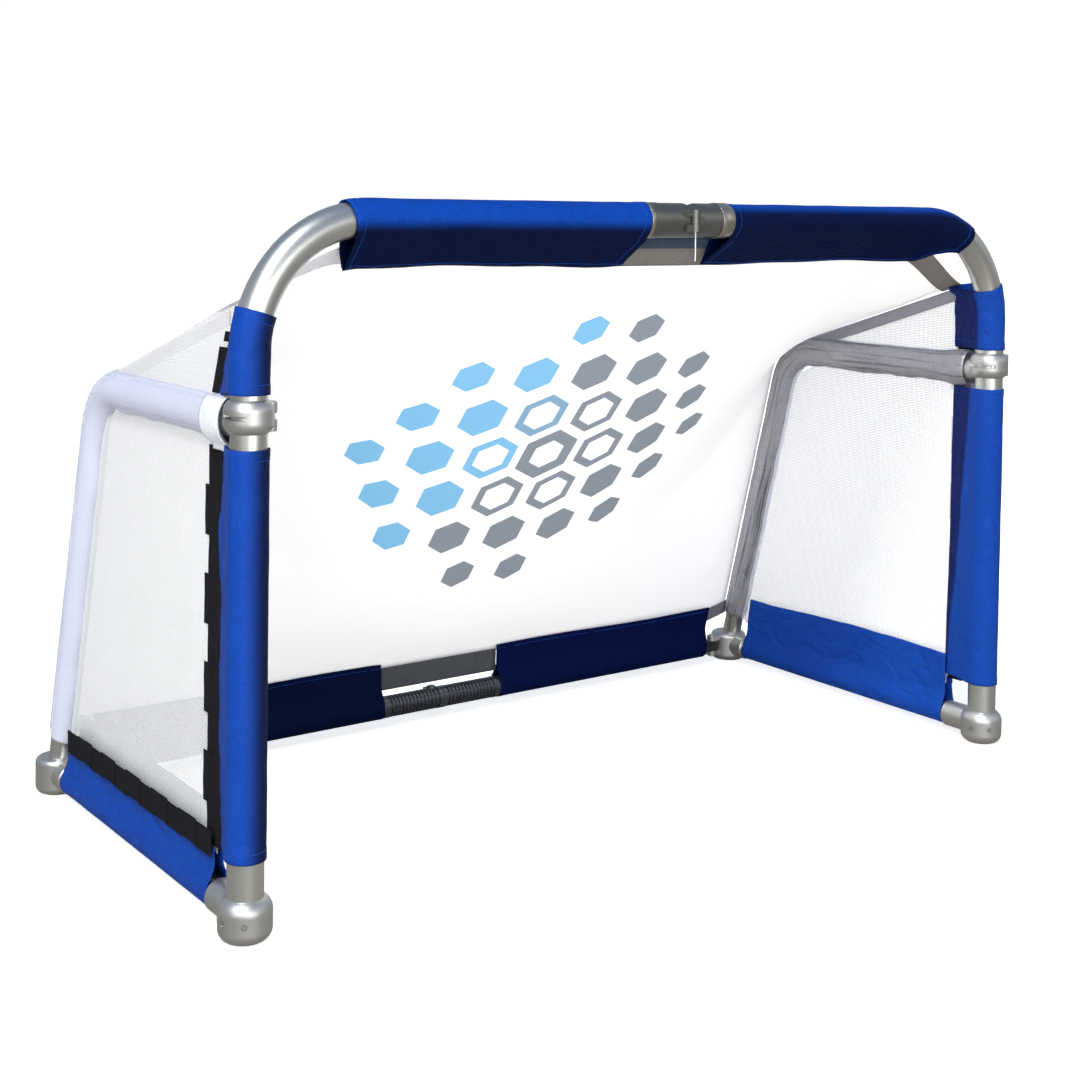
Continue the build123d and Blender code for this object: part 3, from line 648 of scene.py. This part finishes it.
# Painted shade: the crossbar wraps turn navy away from their lit top band, for their underside and flap in
# shadow.
BAR_CLOTH = woven("bar_cloth", BLUE_LIT, BLUE_DEEP, gloss=0.05, shade=(0.122, 0.030, 0.052, 0.0, PAINTED_SHADE_NAVY))
# Painted shade: the right post wraps turn navy on their inner flap, where it lies in shadow.
POST_CLOTH = {
    "right": woven("post_cloth", BLUE_LIT, BLUE_DEEP, shade=(0.050, 0.146, 0.154, 0.100, INNER_FLAP_PAINTED_SHADE)),
    # Painted shade: the left post wraps darken over their inner half, away from the light that falls from the
    # left.
    "left": woven("left_post_cloth", BLUE_LIT, BLUE_DEEP, shade=(0.050, 0.056, 0.090, 0.0, INNER_HALF_PAINTED_SHADE)),
}
# Painted shade, as on the lower wraps: a navy inner flap on the right, a dark inner half on the left.
UPPER_CLOTH = {
    "right": woven("upper_post_cloth", BLUE_LIT, BLUE_DEEP, crease=0.0075,
                   shade=(0.050, 0.122, 0.130, 0.0, INNER_FLAP_PAINTED_SHADE)),
    # Painted shade: the left upper wraps darken over their inner half, away from the light.
    "left": woven("left_upper_post_cloth", BLUE_LIT, BLUE_DEEP, crease=0.0075,
                  shade=(0.050, 0.044, 0.078, 0.0, INNER_HALF_PAINTED_SHADE)),
}
BAR_START = 0.0862
BAR_END = {"left": 0.6052, "right": 0.6712}
BAR_SHEAR = {"left": (0.022, 0.008), "right": (-0.027, -0.100)}
UPPER_TOP = {"left": hoop_distance(0.835), "right": hoop_distance(0.842)}
UPPER_LOW = hoop_distance(0.727)
UPPER_SHEAR = {"left": (0.0, 0.012), "right": (0.0, 0.0)}
UPPER_WRINKLE = {"left": 1.4, "right": 2.6}
UPPER_REACH = {"left": lambda share: 0.041 + 0.050 * share,
               "right": lambda share: 0.091 - 0.010 * smooth_step(share, 0.0, 0.35)}
LOWER_TOP = hoop_distance(0.655)
LOWER_LOW = hoop_distance(0.108)
LOWER_REACH = {"left": lambda share: 0.075 + 0.006 * sin(pi * share) + 0.002 * sin(11.0 * share),
               "right": lambda share: 0.082 + 0.006 * share + 0.001 * sin(9.0 * share)}
for side, sign in SIDES:
    lift = 0.0010 if sign < 0 else 0.0001
    rows = wrap(sign, BAR_START, BAR_END[side], back_and_down, 0.0268, 1.0 + sign, bar_reach, BAR_SHEAR[side])
    hoop_wrap("crossbar_wrap_", side, "hoop_", rows, BAR_CLOTH, "crossbar_sleeve_")
    hem_seams("crossbar", ("inner", "outer"), side, "hoop_" + side, rows, lift, column=WRAP_COUNT - 2)
    rows = wrap(sign, UPPER_TOP[side], UPPER_LOW, backward, 0.0266, 4.0 + sign, UPPER_REACH[side],
                UPPER_SHEAR[side], UPPER_WRINKLE[side])
    hoop_wrap("post_wrap_upper_", side, "hoop_", rows, UPPER_CLOTH[side], "post_sleeve_upper_")
    hem_seams("upper_post", ("top", "low"), side, "hoop_" + side, rows, lift)
    rows = wrap(sign, LOWER_TOP, LOWER_LOW, backward, 0.0266, 9.0 + sign, LOWER_REACH[side], wrinkle=0.8)
    hoop_wrap("post_wrap_lower_", side, "side_", rows, POST_CLOTH[side], "post_sleeve_lower_")
    hem_seams("lower_post", ("top", "low"), side, "side_" + side, rows, lift, column=2)


# ---- end bands of the top hinge
BAND_START = {"left": 0.0790, "right": 0.0606}
for side, sign in SIDES:
    around = 72
    inner = BAND_START[side]
    profile = [(inner, 0.02822), (inner, 0.0284), (inner + 0.0005, 0.0287), (0.0852, 0.0287),
               (0.0857, 0.0284), (0.0857, 0.02822)]
    verts = []
    for number in range(around):
        angle = 2 * pi * number / around
        for distance, radius in profile:
            verts.append(Vector((sign * distance, FRONT_Y + radius * cos(angle), BAR_Z + radius * sin(angle))))
    # the last ring joins the first, and the faces look outwards on both sides
    faces = [tuple(spot % len(verts) for spot in face) for face in quads(0, len(profile), around, closed=True)]
    faces = [face if sign < 0 else face[::-1] for face in faces]
    piece = mesh_object("hinge_band_" + side, verts, faces, BAND_METAL)
    assign(piece, "hoop_" + side, "hinge_casting")


# ---- skirts round the ground tubes
SKIRT_COUNT = 64          # spans across a skirt's cloth


def profile_rows(profile, start, stop, axis, seed, sag, lean):
    """Rows of a bent strip, swept from start to stop: profile(t, share) gives (out, up, how loose).

    lean moves the far end along the axis with height, so that the end edge slants."""
    steps = int((stop - start).length / 0.006)
    out = axis.cross(Vector((0, 0, 1))).normalized()
    rows = []
    for number in range(steps + 1):
        share = number / steps
        centre = start.lerp(stop, share)
        row = []
        for part in range(SKIRT_COUNT + 1):
            t = part / SKIRT_COUNT
            side, up, loose = profile(t, share)
            run = centre.dot(axis)
            wave = ripple(run * 8.0, t * 3.0, seed) * sag * loose
            fold = ripple(run * 26.0 + t * 2.0, t * 5.0, seed + 5) * sag * 0.45 * loose
            ends = min(share, 1 - share) * (stop - start).length
            hem = 0.0007 * (1 - smooth_step(ends, 0.011, 0.013))
            row.append(centre + out * (side + (wave + fold) + copysign(hem, side))
                       + axis * (lean * max(up, 0.0) * share ** 3) + Vector((0, 0, up + wave * 0.15)))
        rows.append(row)
    return rows


def u_profile(radius, left, left_top, right, right_top):
    """Cloth under a tube: down from one top edge, round the tube, and up to the other top edge.

    left and right are the flaps' distances from the tube's middle, and their tops are heights by share."""
    def flap(level, width):
        blend = smooth_step(level, 0.0, 0.045)
        return radius * (1 - blend) + width * blend, level, smooth_step(level, 0.004, 0.05)

    def shape(t, share):
        left_high = left_top(share)
        bottom = radius * pi
        run = t * (left_high + bottom + right_top(share)) - left_high
        if run < 0:
            side, level, loose = flap(-run, left)
            return -side, level, loose
        if run < bottom:
            return -radius * cos(run / radius), -radius * sin(run / radius), 0.08
        return flap(run - bottom, right)
    return shape


def skirt(place, tube, side, rows, material):
    piece = grid("%s_skirt_wrap_%s" % (place, side), rows, material, thick=CLOTH)
    body = "%s_%s" % (place, side)
    cloth_piece(piece, body, "blue_cloth", flat_of(rows), "draped", [tube + side], "%s_skirt_%s" % (place, side))
    for number, column in enumerate((2, SKIRT_COUNT - 2)):
        seam("%s_skirt_seam_%s_%d" % (place, side, number + 1), body, rows, 0.0006, column=column)


def inner_top(share):
    return 0.113 + 0.003 * sin(share * 5.0)


def outer_top(share):
    return 0.064 - 0.005 * share


def rear_top(share):
    return 0.082 + 0.0015 * sin(share * 7.0)


SKIRT_INNER = (0.0065, inner_top)
SKIRT_OUTER = (0.0075, outer_top)
for side, sign in SIDES:
    start = Vector((sign * HALF_WIDTH, -0.2655, BASE_Z))
    stop = Vector((sign * HALF_WIDTH, 0.279, BASE_Z))
    first, second = (SKIRT_OUTER, SKIRT_INNER) if sign < 0 else (SKIRT_INNER, SKIRT_OUTER)
    shape = u_profile(0.0208, *first, *second)
    rows = profile_rows(shape, start, stop, Vector((0, 1, 0)), 20.0 + sign, 0.0032, -0.10)
    skirt("side", "base_tube_", side, rows, BLUE)
    start = Vector((sign * 0.132, REAR_Y, REAR_Z))
    stop = Vector((sign * 0.668, REAR_Y, REAR_Z))
    shape = u_profile(0.0205, 0.0012 - 0.0018 * sign, rear_top, 0.0012 + 0.0018 * sign, rear_top)
    rows = profile_rows(shape, start, stop, Vector((sign, 0, 0)), 30.0 + sign, 0.0014, 0.28)
    # painted shade: each rear skirt's dark colour stands for the blue cloth in shadow, the left darker than the
    # right
    skirt("rear", "rear_tube_", side, rows, REAR_LEFT_SHADE_CLOTH if side == "left" else REAR_RIGHT_SHADE_CLOTH)


# ---- netting made of threads
NET_PITCH = 0.0032
NET_THREAD = 0.00185
NET_SEGMENTS = 10


def clip_span(outline, value, axis):
    """Where the line at a value of one axis crosses an outline: (low, high) of the other axis."""
    other = 1 - axis
    hits = []
    for a, b in zip(outline, outline[1:] + outline[:1]):
        if (a[axis] - value) * (b[axis] - value) < 0:
            share = (value - a[axis]) / (b[axis] - a[axis])
            hits.append(a[other] + share * (b[other] - a[other]))
    return (min(hits), max(hits)) if len(hits) >= 2 else None


def net_panel(name, outlines, surface, material):
    """Open mesh from flat threads both ways, clipped to the outlines and laid on surface(y, z)."""
    verts = []
    faces = []
    for outline in outlines:
        ys = [p[0] for p in outline]
        zs = [p[1] for p in outline]
        for axis, low, high in ((0, min(ys), max(ys)), (1, min(zs), max(zs))):
            count = int((high - low) / NET_PITCH)
            out = 0.0002 if axis == 0 else -0.0002
            half = Vector((0, NET_THREAD / 2, 0) if axis == 0 else (0, 0, NET_THREAD / 2))
            for number in range(1, count):
                value = low + (high - low) * number / count
                span = clip_span(outline, value, axis)
                if not span or span[1] - span[0] < 0.003:
                    continue
                base = len(verts)
                for part in range(NET_SEGMENTS + 1):
                    other = span[0] + (span[1] - span[0]) * part / NET_SEGMENTS
                    spot = surface(value, other) if axis == 0 else surface(other, value)
                    spot.x += out
                    verts += [spot - half, spot + half]
                faces += quads(base, 2, NET_SEGMENTS)
    return mesh_object(name, verts, faces, material)


def lean_in(y, z):
    """How far the upper side panel leans in, towards its top front corner."""
    return 0.006 * smooth_step(z, 0.72, 0.84) * (1 - smooth_step(y, -0.28, 0.1))


LOWER_PANEL = [(-0.261, 0.087), (-0.266, 0.135), (-0.272, 0.150), (-0.272, 0.662),
               (0.095, 0.662), (0.146, 0.640), (0.163, 0.600), (0.295, 0.087)]
UPPER_PANEL = [(-0.272, 0.712), (-0.274, 0.838), (0.098, 0.722), (0.098, 0.712)]
for side, sign in SIDES:
    def net_surface(y, z, sign=sign):
        sag = 0.0010 * ripple(y * 1.6, z * 1.6, 40.0 + sign, 1)
        return Vector((sign * (HALF_WIDTH + sag * 0.6 - lean_in(y, z)), y, z))
    piece = net_panel("side_mesh_" + side, [LOWER_PANEL, UPPER_PANEL], net_surface, MESH_YARN)
    assign(piece, "side_" + side, "mesh", "side_net_" + side)


# ---- pockets round the side tubes
def pocket_point(sign, length, angle, grow=0.0):
    """Point on the pocket round the side tube. Angle 0 is away from the goal, 90 up and outside the bend."""
    centre, direction = side_axis(length)
    up = Vector((1, 0, 0)).cross(direction).normalized()
    if up.z < 0 and abs(direction.y) > 0.5:
        up = -up
    if direction.z < -0.5 and up.y < 0:
        up = -up
    front = 1 - smooth_step(length, 0.058, 0.125)
    tall = 0.0290 + 0.0055 * front + grow
    wide = 0.0212 + 0.0048 * front + grow
    drop = sin(angle)
    sag = 0.0035 * ripple(length * 16.0, 2.0, 50.0 + sign) * (1.0 if drop < 0 else 0.25)
    squeeze = 1.0 - 0.18 * max(0.0, -drop) ** 2
    return (centre + Vector((sign * (HALF_WIDTH + wide * squeeze * cos(angle)), 0, 0))
            + up * (tall * drop + sag * abs(drop)))


POCKET_START = 0.0375     # along the side tube's axis, from the post
POCKET_END = side_length_at(0.098)
POCKET_RUN = POCKET_END - POCKET_START
POCKET_OPEN = 104.0       # degrees each side of straight outwards that the threads reach
POCKET_PITCH = 0.0030
POCKET_THREAD = 0.0015
POCKET_AROUND = 30
POCKET_STRIPS = 32
for side, sign in SIDES:
    verts = []
    faces = []
    for ring in range(int(POCKET_RUN / POCKET_PITCH)):
        base = len(verts)
        for edge in (0.0, POCKET_THREAD):
            for number in range(POCKET_AROUND):
                zig = 0.0007 * (1 if number % 2 else -1)
                length = POCKET_START + POCKET_PITCH * ring + edge + zig
                angle = radians(POCKET_OPEN * (2 * number / (POCKET_AROUND - 1) - 1))
                verts.append(pocket_point(sign, length, angle))
        faces += quads(base, POCKET_AROUND, 1)
    spans = int(POCKET_RUN / 0.012)
    half = 0.00075 / 0.026
    for strip in range(POCKET_STRIPS):
        angle = radians(POCKET_OPEN * (2 * strip / (POCKET_STRIPS - 1) - 1))
        base = len(verts)
        for number in range(spans + 1):
            length = POCKET_START + POCKET_RUN * number / spans
            verts += [pocket_point(sign, length, angle + offset, 0.0003) for offset in (-half, half)]
        faces += quads(base, 2, spans)
    piece = mesh_object("tube_pocket_" + side, verts, faces, POCKET_YARN)
    assign(piece, "side_" + side, "mesh", "side_tube_pocket_" + side)

    # painted shade: a grey sheet over the pocket's inner half, where the pocket lies in shadow
    def shade_sheet_point(step, number):
        length = POCKET_START + 0.004 + (POCKET_RUN - 0.008) * step / 110
        crease = 0.0010 * abs(ripple(length * 22.0, number * 0.35, 60.0 + sign))
        return pocket_point(sign, length, radians(88 + 184 * number / 24), -0.0008 - crease)

    rows = rows_of(110, 24, shade_sheet_point)
    piece = grid("pocket_lining_" + side, rows, POCKET_PAINTED_SHADE, thick=0.0005)
    cloth_piece(piece, "side_" + side, "grey_cloth", flat_of(rows), "stretched", ["side_tube_" + side])

    def tab_point(step, number):
        """White tab that closes the pocket's outer end beside the collar."""
        y = -0.3085 + 0.0575 * step / 14
        z = 0.7185 - 0.0740 * number / 20
        rise = sqrt(max(0.0, 1 - ((z - SIDE_Z) / 0.0362) ** 2))
        bulge = max(0.0065, 0.0282 * rise) + 0.0006 * ripple(y * 40.0, z * 40.0, 65.0 + sign)
        return Vector((sign * (HALF_WIDTH + bulge), y, z))

    rows = rows_of(14, 20, tab_point)
    piece = grid("pocket_tab_" + side, rows, WHITE_CLOTH)
    cloth_piece(piece, "side_" + side, "back_cloth", flat_of(rows), "stretched", ["tube_pocket_" + side])


# ---- back sheet
ROOF_SHARE = 0.42         # t where the sheet's roof ends and its bend starts; the bend ends at 0.58


def back_controls(x):
    """Five control points (y, z) of the back sheet's profile at one x."""
    share = min(1.0, abs(x) / 0.744) ** 2.4
    corner = smooth_step(abs(x), 0.585, 0.760)
    straight = max(0.0, min(1.0, (abs(x) - 0.585) / 0.165))
    corner = 0.5 * corner + 0.5 * straight
    middle = [(-0.312, 0.922), (-0.120, 0.705), (0.060, 0.500), (0.208, 0.300), (0.3590, 0.100)]
    edge = [(-0.280, 0.842), (0.098, 0.7215), (0.1946, 0.7215), (0.2190, 0.630), (0.3570, 0.100)]
    points = [Vector(a).lerp(Vector(b), share) for a, b in zip(middle, edge)]
    points[0] = Vector(middle[0]).lerp(Vector(edge[0]), corner)
    return points


def back_point(x, t, lift=0.0):
    """Point of the back sheet: t runs from the crossbar down to the rear bar."""
    top, enter, knee, leave, bottom = back_controls(x)
    if t < ROOF_SHARE:
        spot = top.lerp(enter, t / ROOF_SHARE)
        slope = enter - top
    elif t < 0.58:
        s = (t - ROOF_SHARE) / 0.16
        spot = enter.lerp(knee, s).lerp(knee.lerp(leave, s), s)
        slope = knee.lerp(leave, s) - enter.lerp(knee, s)
    else:
        spot = leave.lerp(bottom, (t - 0.58) / 0.42)
        slope = bottom - leave
    normal = Vector((-slope.y, slope.x)).normalized()
    spot = spot + normal * lift
    return Vector((x, spot.x, spot.y))


def back_lift(x, t):
    """Gentle tension waves, strongest towards the corners."""
    taut = 0.0016 * ripple(x * 3.0 + t * 2.0, t * 4.0 - x, 70.0, 3)
    corner = smooth_step(abs(x), 0.45, 0.74) * (smooth_step(t, 0.6, 1.0) + 1 - smooth_step(t, 0.0, 0.3))
    return taut + corner * 0.0018 * ripple(x * 16.0 + t * 9.0, t * 12.0, 71.0, 2)


def hem_rows(xs, width):
    """Rows of a band inside the sheet's top edge, width metres wide, on the sheet's front."""
    def point(line, column):
        x = xs[column]
        top, enter = back_controls(x)[:2]
        t = ROOF_SHARE * width * line / 8 / (enter - top).length
        return back_point(x, t, back_lift(x, t) - 0.0016)
    return rows_of(8, len(xs) - 1, point)


def apply_modifiers(piece):
    with bpy.context.temp_override(object=piece, active_object=piece):
        for modifier in list(piece.modifiers):
            bpy.ops.object.modifier_apply(modifier=modifier.name)


def fold_with_goal(piece):
    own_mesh(piece)


def back_piece(piece, slot_name, flat, *replaces):
    apply_modifiers(piece)
    assign(piece, "side_left", slot_name, *replaces)
    fold_with_goal(piece)


BACK_SPANS = 150
xs = [-0.744 + 1.488 * n / BACK_SPANS for n in range(BACK_SPANS + 1)]
ts = [n / 104 for n in range(105)]
rows = [[back_point(x, t, back_lift(x, t)) for x in xs] for t in ts]
back_sheet = grid("back_sheet", rows, BACK, thick=CLOTH)
# the print is laid out from the sheet's middle line
along = [0.0]
for before, after in zip(rows, rows[1:]):
    along.append(along[-1] + (after[BACK_SPANS // 2] - before[BACK_SPANS // 2]).length)
for loop in back_sheet.data.loops:
    line, spot = divmod(loop.vertex_index, len(xs))
    back_sheet.data.uv_layers["cloth"].data[loop.index].uv = (xs[spot], along[line])
back_piece(back_sheet, "back_cloth", (1.49, 1.08), "back_net_left", "back_net_right")


def sheet_seam(name, spots):
    """Stitches on the front of the back sheet through (x, t) spots."""
    points = [back_point(x, t, back_lift(x, t) - 0.0008) for x, t in spots]
    normals = [back_point(x, t, -1.0) - back_point(x, t) for x, t in spots]
    piece = stitches(name, points, normals, "side_left", "back_cloth", WHITE_THREAD)
    fold_with_goal(piece)


sheet_seam("back_bottom_seam", [(x, 0.986) for x in xs])
sheet_seam("back_top_seam", [(x, 0.014) for x in xs if abs(x) < 0.56])
for side, sign in SIDES:
    sheet_seam("back_side_seam_" + side, [(sign * 0.729, t) for t in ts])


def back_strip(name, rows, material, *replaces, slot_name="grey_cloth"):
    back_piece(grid(name, rows, material), slot_name, flat_of(rows), *replaces)


def strip_rows(half, y, rough, waves, seed, low, rise, columns, lines):
    """Rows of a short upright band across the goal's middle."""
    return rows_of(lines, columns, lambda row, n: Vector((
        -half + 2 * half * n / columns, y + rough * ripple(n * waves[0], row * waves[1], seed),
        low + rise * row / lines)))


# hem bands and corner patches on the front of the back sheet, all of one white tape: painted shade makes it grey
# in the middle, at the rear and on the right side, where it lies in shadow
rows = hem_rows([-0.115 + 0.23 * n / 24 for n in range(25)], 0.046)
back_strip("top_strip", rows, TAPE_PAINTED_SHADE, "top_band_left", "top_band_right")
# painted shade: a dark band under the top hinge, for the cloth in its shadow
rows = strip_rows(0.104, -0.3165, 0.0006, (0.4, 0.5), 83.0, 0.934, -0.019, 20, 4)
back_strip("top_edging", rows, UNDER_HINGE_PAINTED_SHADE, slot_name="blue_cloth")
rows = strip_rows(0.131, 0.3445, 0.0008, (0.3, 0.4), 80.0, 0.066, 0.0430, 24, 8)
back_strip("rear_strip", rows, REAR_TAPE_PAINTED_SHADE, "rear_band_left", "rear_band_right")
for side, sign in SIDES:
    rows = hem_rows([sign * (0.560 + 0.186 * n / 24) for n in range(25)], 0.048)
    # painted shade: the right corner hem is grey for the same white tape in shadow
    back_strip("corner_hem_" + side, rows, WHITE_CLOTH if side == "left" else TAPE_PAINTED_SHADE)

    def roof_point(number, part):
        down = 0.0225 * part / 6
        y = -0.2680 + 0.3800 * number / 40 - 0.298 * down
        z = 0.8356 - 0.1193 * number / 40 - 0.954 * down
        inward = 0.0026 + lean_in(y, z)
        return Vector((sign * (HALF_WIDTH - inward + 0.0004 * ripple(y * 20.0, part * 0.3, 85.0)), y, z))

    def corner_point(number, part):
        low = 0.074 + 0.024 * number / 12 + 0.030 * part / 6
        return Vector((sign * (0.664 + 0.082 * number / 12), 0.3530 - 0.278 * (low - 0.1), low))

    rows = rows_of(40, 6, roof_point)
    # painted shade: the right roof hem is grey for the same white tape in shadow
    piece = grid("roof_edge_hem_" + side, rows, WHITE_CLOTH if side == "left" else ROOF_HEM_PAINTED_SHADE)
    cloth_piece(piece, "side_" + side, "grey_cloth", flat_of(rows), "stretched", ["side_tube_" + side])
    # painted shade: the right lower corner hem is grey for the same white tape in shadow
    back_strip("lower_corner_hem_" + side, rows_of(12, 6, corner_point),
               WHITE_CLOTH if side == "left" else CORNER_HEM_PAINTED_SHADE)


# ---- hook tape
def tape_tabs(name, boxes, x, side, *replaces, slant=0.0):
    """Overlapping short lengths of hook tape on a side plane: boxes of (y, z, width, height, lift)."""
    verts = []
    faces = []
    columns = 5
    line_size = columns + 1
    for y, z, width, height, lift in boxes:
        base = len(verts)
        lines = max(3, int(height / 0.008))
        for layer in (0.0, 0.0014):
            for line in range(lines + 1):
                for column in range(columns + 1):
                    pz = z - height / 2 + height * line / lines
                    py = y - width / 2 + width * column / columns + slant * (z - pz)
                    curl = lift + 0.0010 * ripple(py * 30.0, pz * 20.0, 99.0)
                    edge = 0.0004 if layer and (column in (0, columns) or line in (0, lines)) else 0.0
                    verts.append(Vector((x + copysign(1.0, x) * (curl + layer - edge), py, pz)))
        top = (lines + 1) * line_size       # from a vertex to the one above it in the outer layer
        for line in range(lines):
            for a in range(base + line * line_size, base + line * line_size + columns):
                d = a + line_size
                faces += [(a, d, d + 1, a + 1), (a + top, a + top + 1, d + top + 1, d + top)]
        for line in range(lines):
            a = base + line * line_size
            faces.append((a, a + line_size, a + line_size + top, a + top))
            a += columns
            faces.append((a, a + top, a + line_size + top, a + line_size))
        for column in range(columns):
            for a in (base + column, base + lines * line_size + column):
                faces.append((a, a + 1, a + 1 + top, a + top))
    uvs = [(verts[spot].y, verts[spot].z) for face in faces for spot in face]
    piece = mesh_object(name, verts, faces, HOOKS, uvs, smooth=False)
    assign(piece, "side_" + side, "hook_tape", *replaces)
    narrow = min(min(boxes[0][2:4]), 0.030)


for side, sign in SIDES:
    x = sign * (HALF_WIDTH + 0.0030)
    width = 0.055 if side == "left" else 0.034
    boxes = []
    z = 0.127
    while z < 0.652:
        odd = len(boxes) % 2
        shift = 0.006 if odd else -0.003
        if side == "right":
            shift = 0.5 * shift - 0.008
        boxes.append((-0.285 + width / 2 + shift, z, width, 0.070 if odd else 0.058, 0.0012 * odd))
        z += 0.0615
    tape_tabs("hook_tape_post_" + side, boxes, x, side, "velcro_post_" + side)
    rear_edge = -0.240 if side == "left" else -0.262
    boxes = [(rear_edge - 0.034, 0.752, 0.044, 0.064, 0.0), (rear_edge - 0.052, 0.799, 0.030, 0.014, 0.0)]
    tape_tabs("hook_tape_upper_" + side, boxes, x, side, slant=0.34)
    boxes = []
    y = -0.238
    while y < 0.262:
        odd = len(boxes) % 2
        boxes.append((y, 0.1050 + (0.002 if odd else -0.001), 0.056, 0.036, 0.0085 + 0.0013 * odd))
        y += 0.0480
    tape_tabs("hook_tape_base_" + side, boxes, x, side, "velcro_base_" + side)


# ---- pull cord
CORD_EXIT = (0.0, -0.374, 0.9459)


def make_cord():
    curve = bpy.data.curves.new("pull_thread", "CURVE")
    curve.dimensions = "3D"
    route = [CORD_EXIT, (0.0003, -0.3742, 0.934), (-0.0005, -0.3749, 0.921),
             (0.0004, -0.3746, 0.908), (0.0002, -0.3737, 0.897)]
    spline = curve.splines.new("NURBS")
    spline.points.add(len(route) - 1)
    for point, spot in zip(spline.points, route):
        point.co = (*spot, 1.0)
    spline.order_u = 3
    spline.use_endpoint_u = True
    curve.bevel_depth = 0.0009
    curve.bevel_resolution = 4
    curve.use_fill_caps = True
    curve.materials.append(WHITE_THREAD)
    piece = bpy.data.objects.new("pull_thread", curve)
    bpy.context.scene.collection.objects.link(piece)
    assign(piece, "hoop_left", "cord", "pull_cord")


make_cord()


# ---- floor, light, background
def make_stage():
    bpy.ops.mesh.primitive_plane_add(size=60.0, location=(0, 0, 0))
    floor = bpy.context.object
    floor.name = "floor"
    m = Material("floor")
    path = m.add("ShaderNodeLightPath")
    seen = path.outputs["Is Camera Ray"]
    bounce = m.mix(path.outputs["Is Glossy Ray"], (0.74, 0.70, 0.64), (0.27, 0.25, 0.21))
    m.finish(Base_Color=m.mix(seen, bounce, (0.90, 0.90, 0.90)), Roughness=0.9,
             Emission_Color=(1.0, 1.0, 1.0), Emission_Strength=m.times(seen, 0.62))
    floor.data.materials.append(m.material)


def make_world():
    """White to the camera; for light and reflections, a warm floor, a bright horizon and a blue sky."""
    world = bpy.data.worlds.new("studio")
    bpy.context.scene.world = world
    world.use_nodes = True
    world.node_tree.nodes.clear()
    w = Nodes(world.node_tree)
    coord = w.add("ShaderNodeTexCoord")
    height = w.add("ShaderNodeSeparateXYZ", {0: coord.outputs["Generated"]}).outputs["Z"]
    ramp = w.add("ShaderNodeValToRGB", {"Fac": w.math("MULTIPLY_ADD", height, 0.5, 0.5)})
    stops = ramp.color_ramp.elements
    stops[0].position = 0.46
    stops[0].color = (0.24, 0.22, 0.18, 1.0)
    stops[1].position = 0.54
    stops[1].color = (0.86, 0.88, 0.92, 1.0)
    stops.new(0.9).color = (0.38, 0.51, 0.72, 1.0)
    lit = w.add("ShaderNodeBackground", {"Color": ramp.outputs["Color"], "Strength": 0.57})
    seen = w.add("ShaderNodeBackground", {"Color": (1.0, 1.0, 1.0), "Strength": 1.05})
    path = w.add("ShaderNodeLightPath")
    sockets = {"Fac": path.outputs["Is Camera Ray"], 1: lit.outputs[0], 2: seen.outputs[0]}
    mix = w.add("ShaderNodeMixShader", sockets)
    w.add("ShaderNodeOutputWorld", {"Surface": mix.outputs[0]})


def add_light(kind, name, spot, target, energy, size):
    """A lamp looking from spot to target. size is an area's edge in metres, or the sun's angle."""
    data = bpy.data.lights.new(name, kind)
    data.energy = energy
    if kind == "AREA":
        data.size = size
    else:
        data.angle = size
    light = bpy.data.objects.new(name, data)
    bpy.context.scene.collection.objects.link(light)
    light.location = spot
    light.rotation_euler = (Vector(target) - Vector(spot)).to_track_quat("-Z", "Y").to_euler()


make_stage()
make_world()
add_light("SUN", "sun", (-2.3, -1.6, 4.2), (0, 0, 0), 2.3, radians(14))
add_light("AREA", "left_softbox", (-3.2, -2.5, 2.1), (0, 0, 0.5), 74, 2.0)
add_light("AREA", "right_softbox", (2.6, -3.0, 2.4), (0.2, 0, 0.5), 9, 2.0)
add_light("AREA", "low_fill", (-0.8, -3.4, 0.5), (0, 0.1, 0.55), 58, 2.4)
bpy.context.scene.view_settings.view_transform = "Standard"
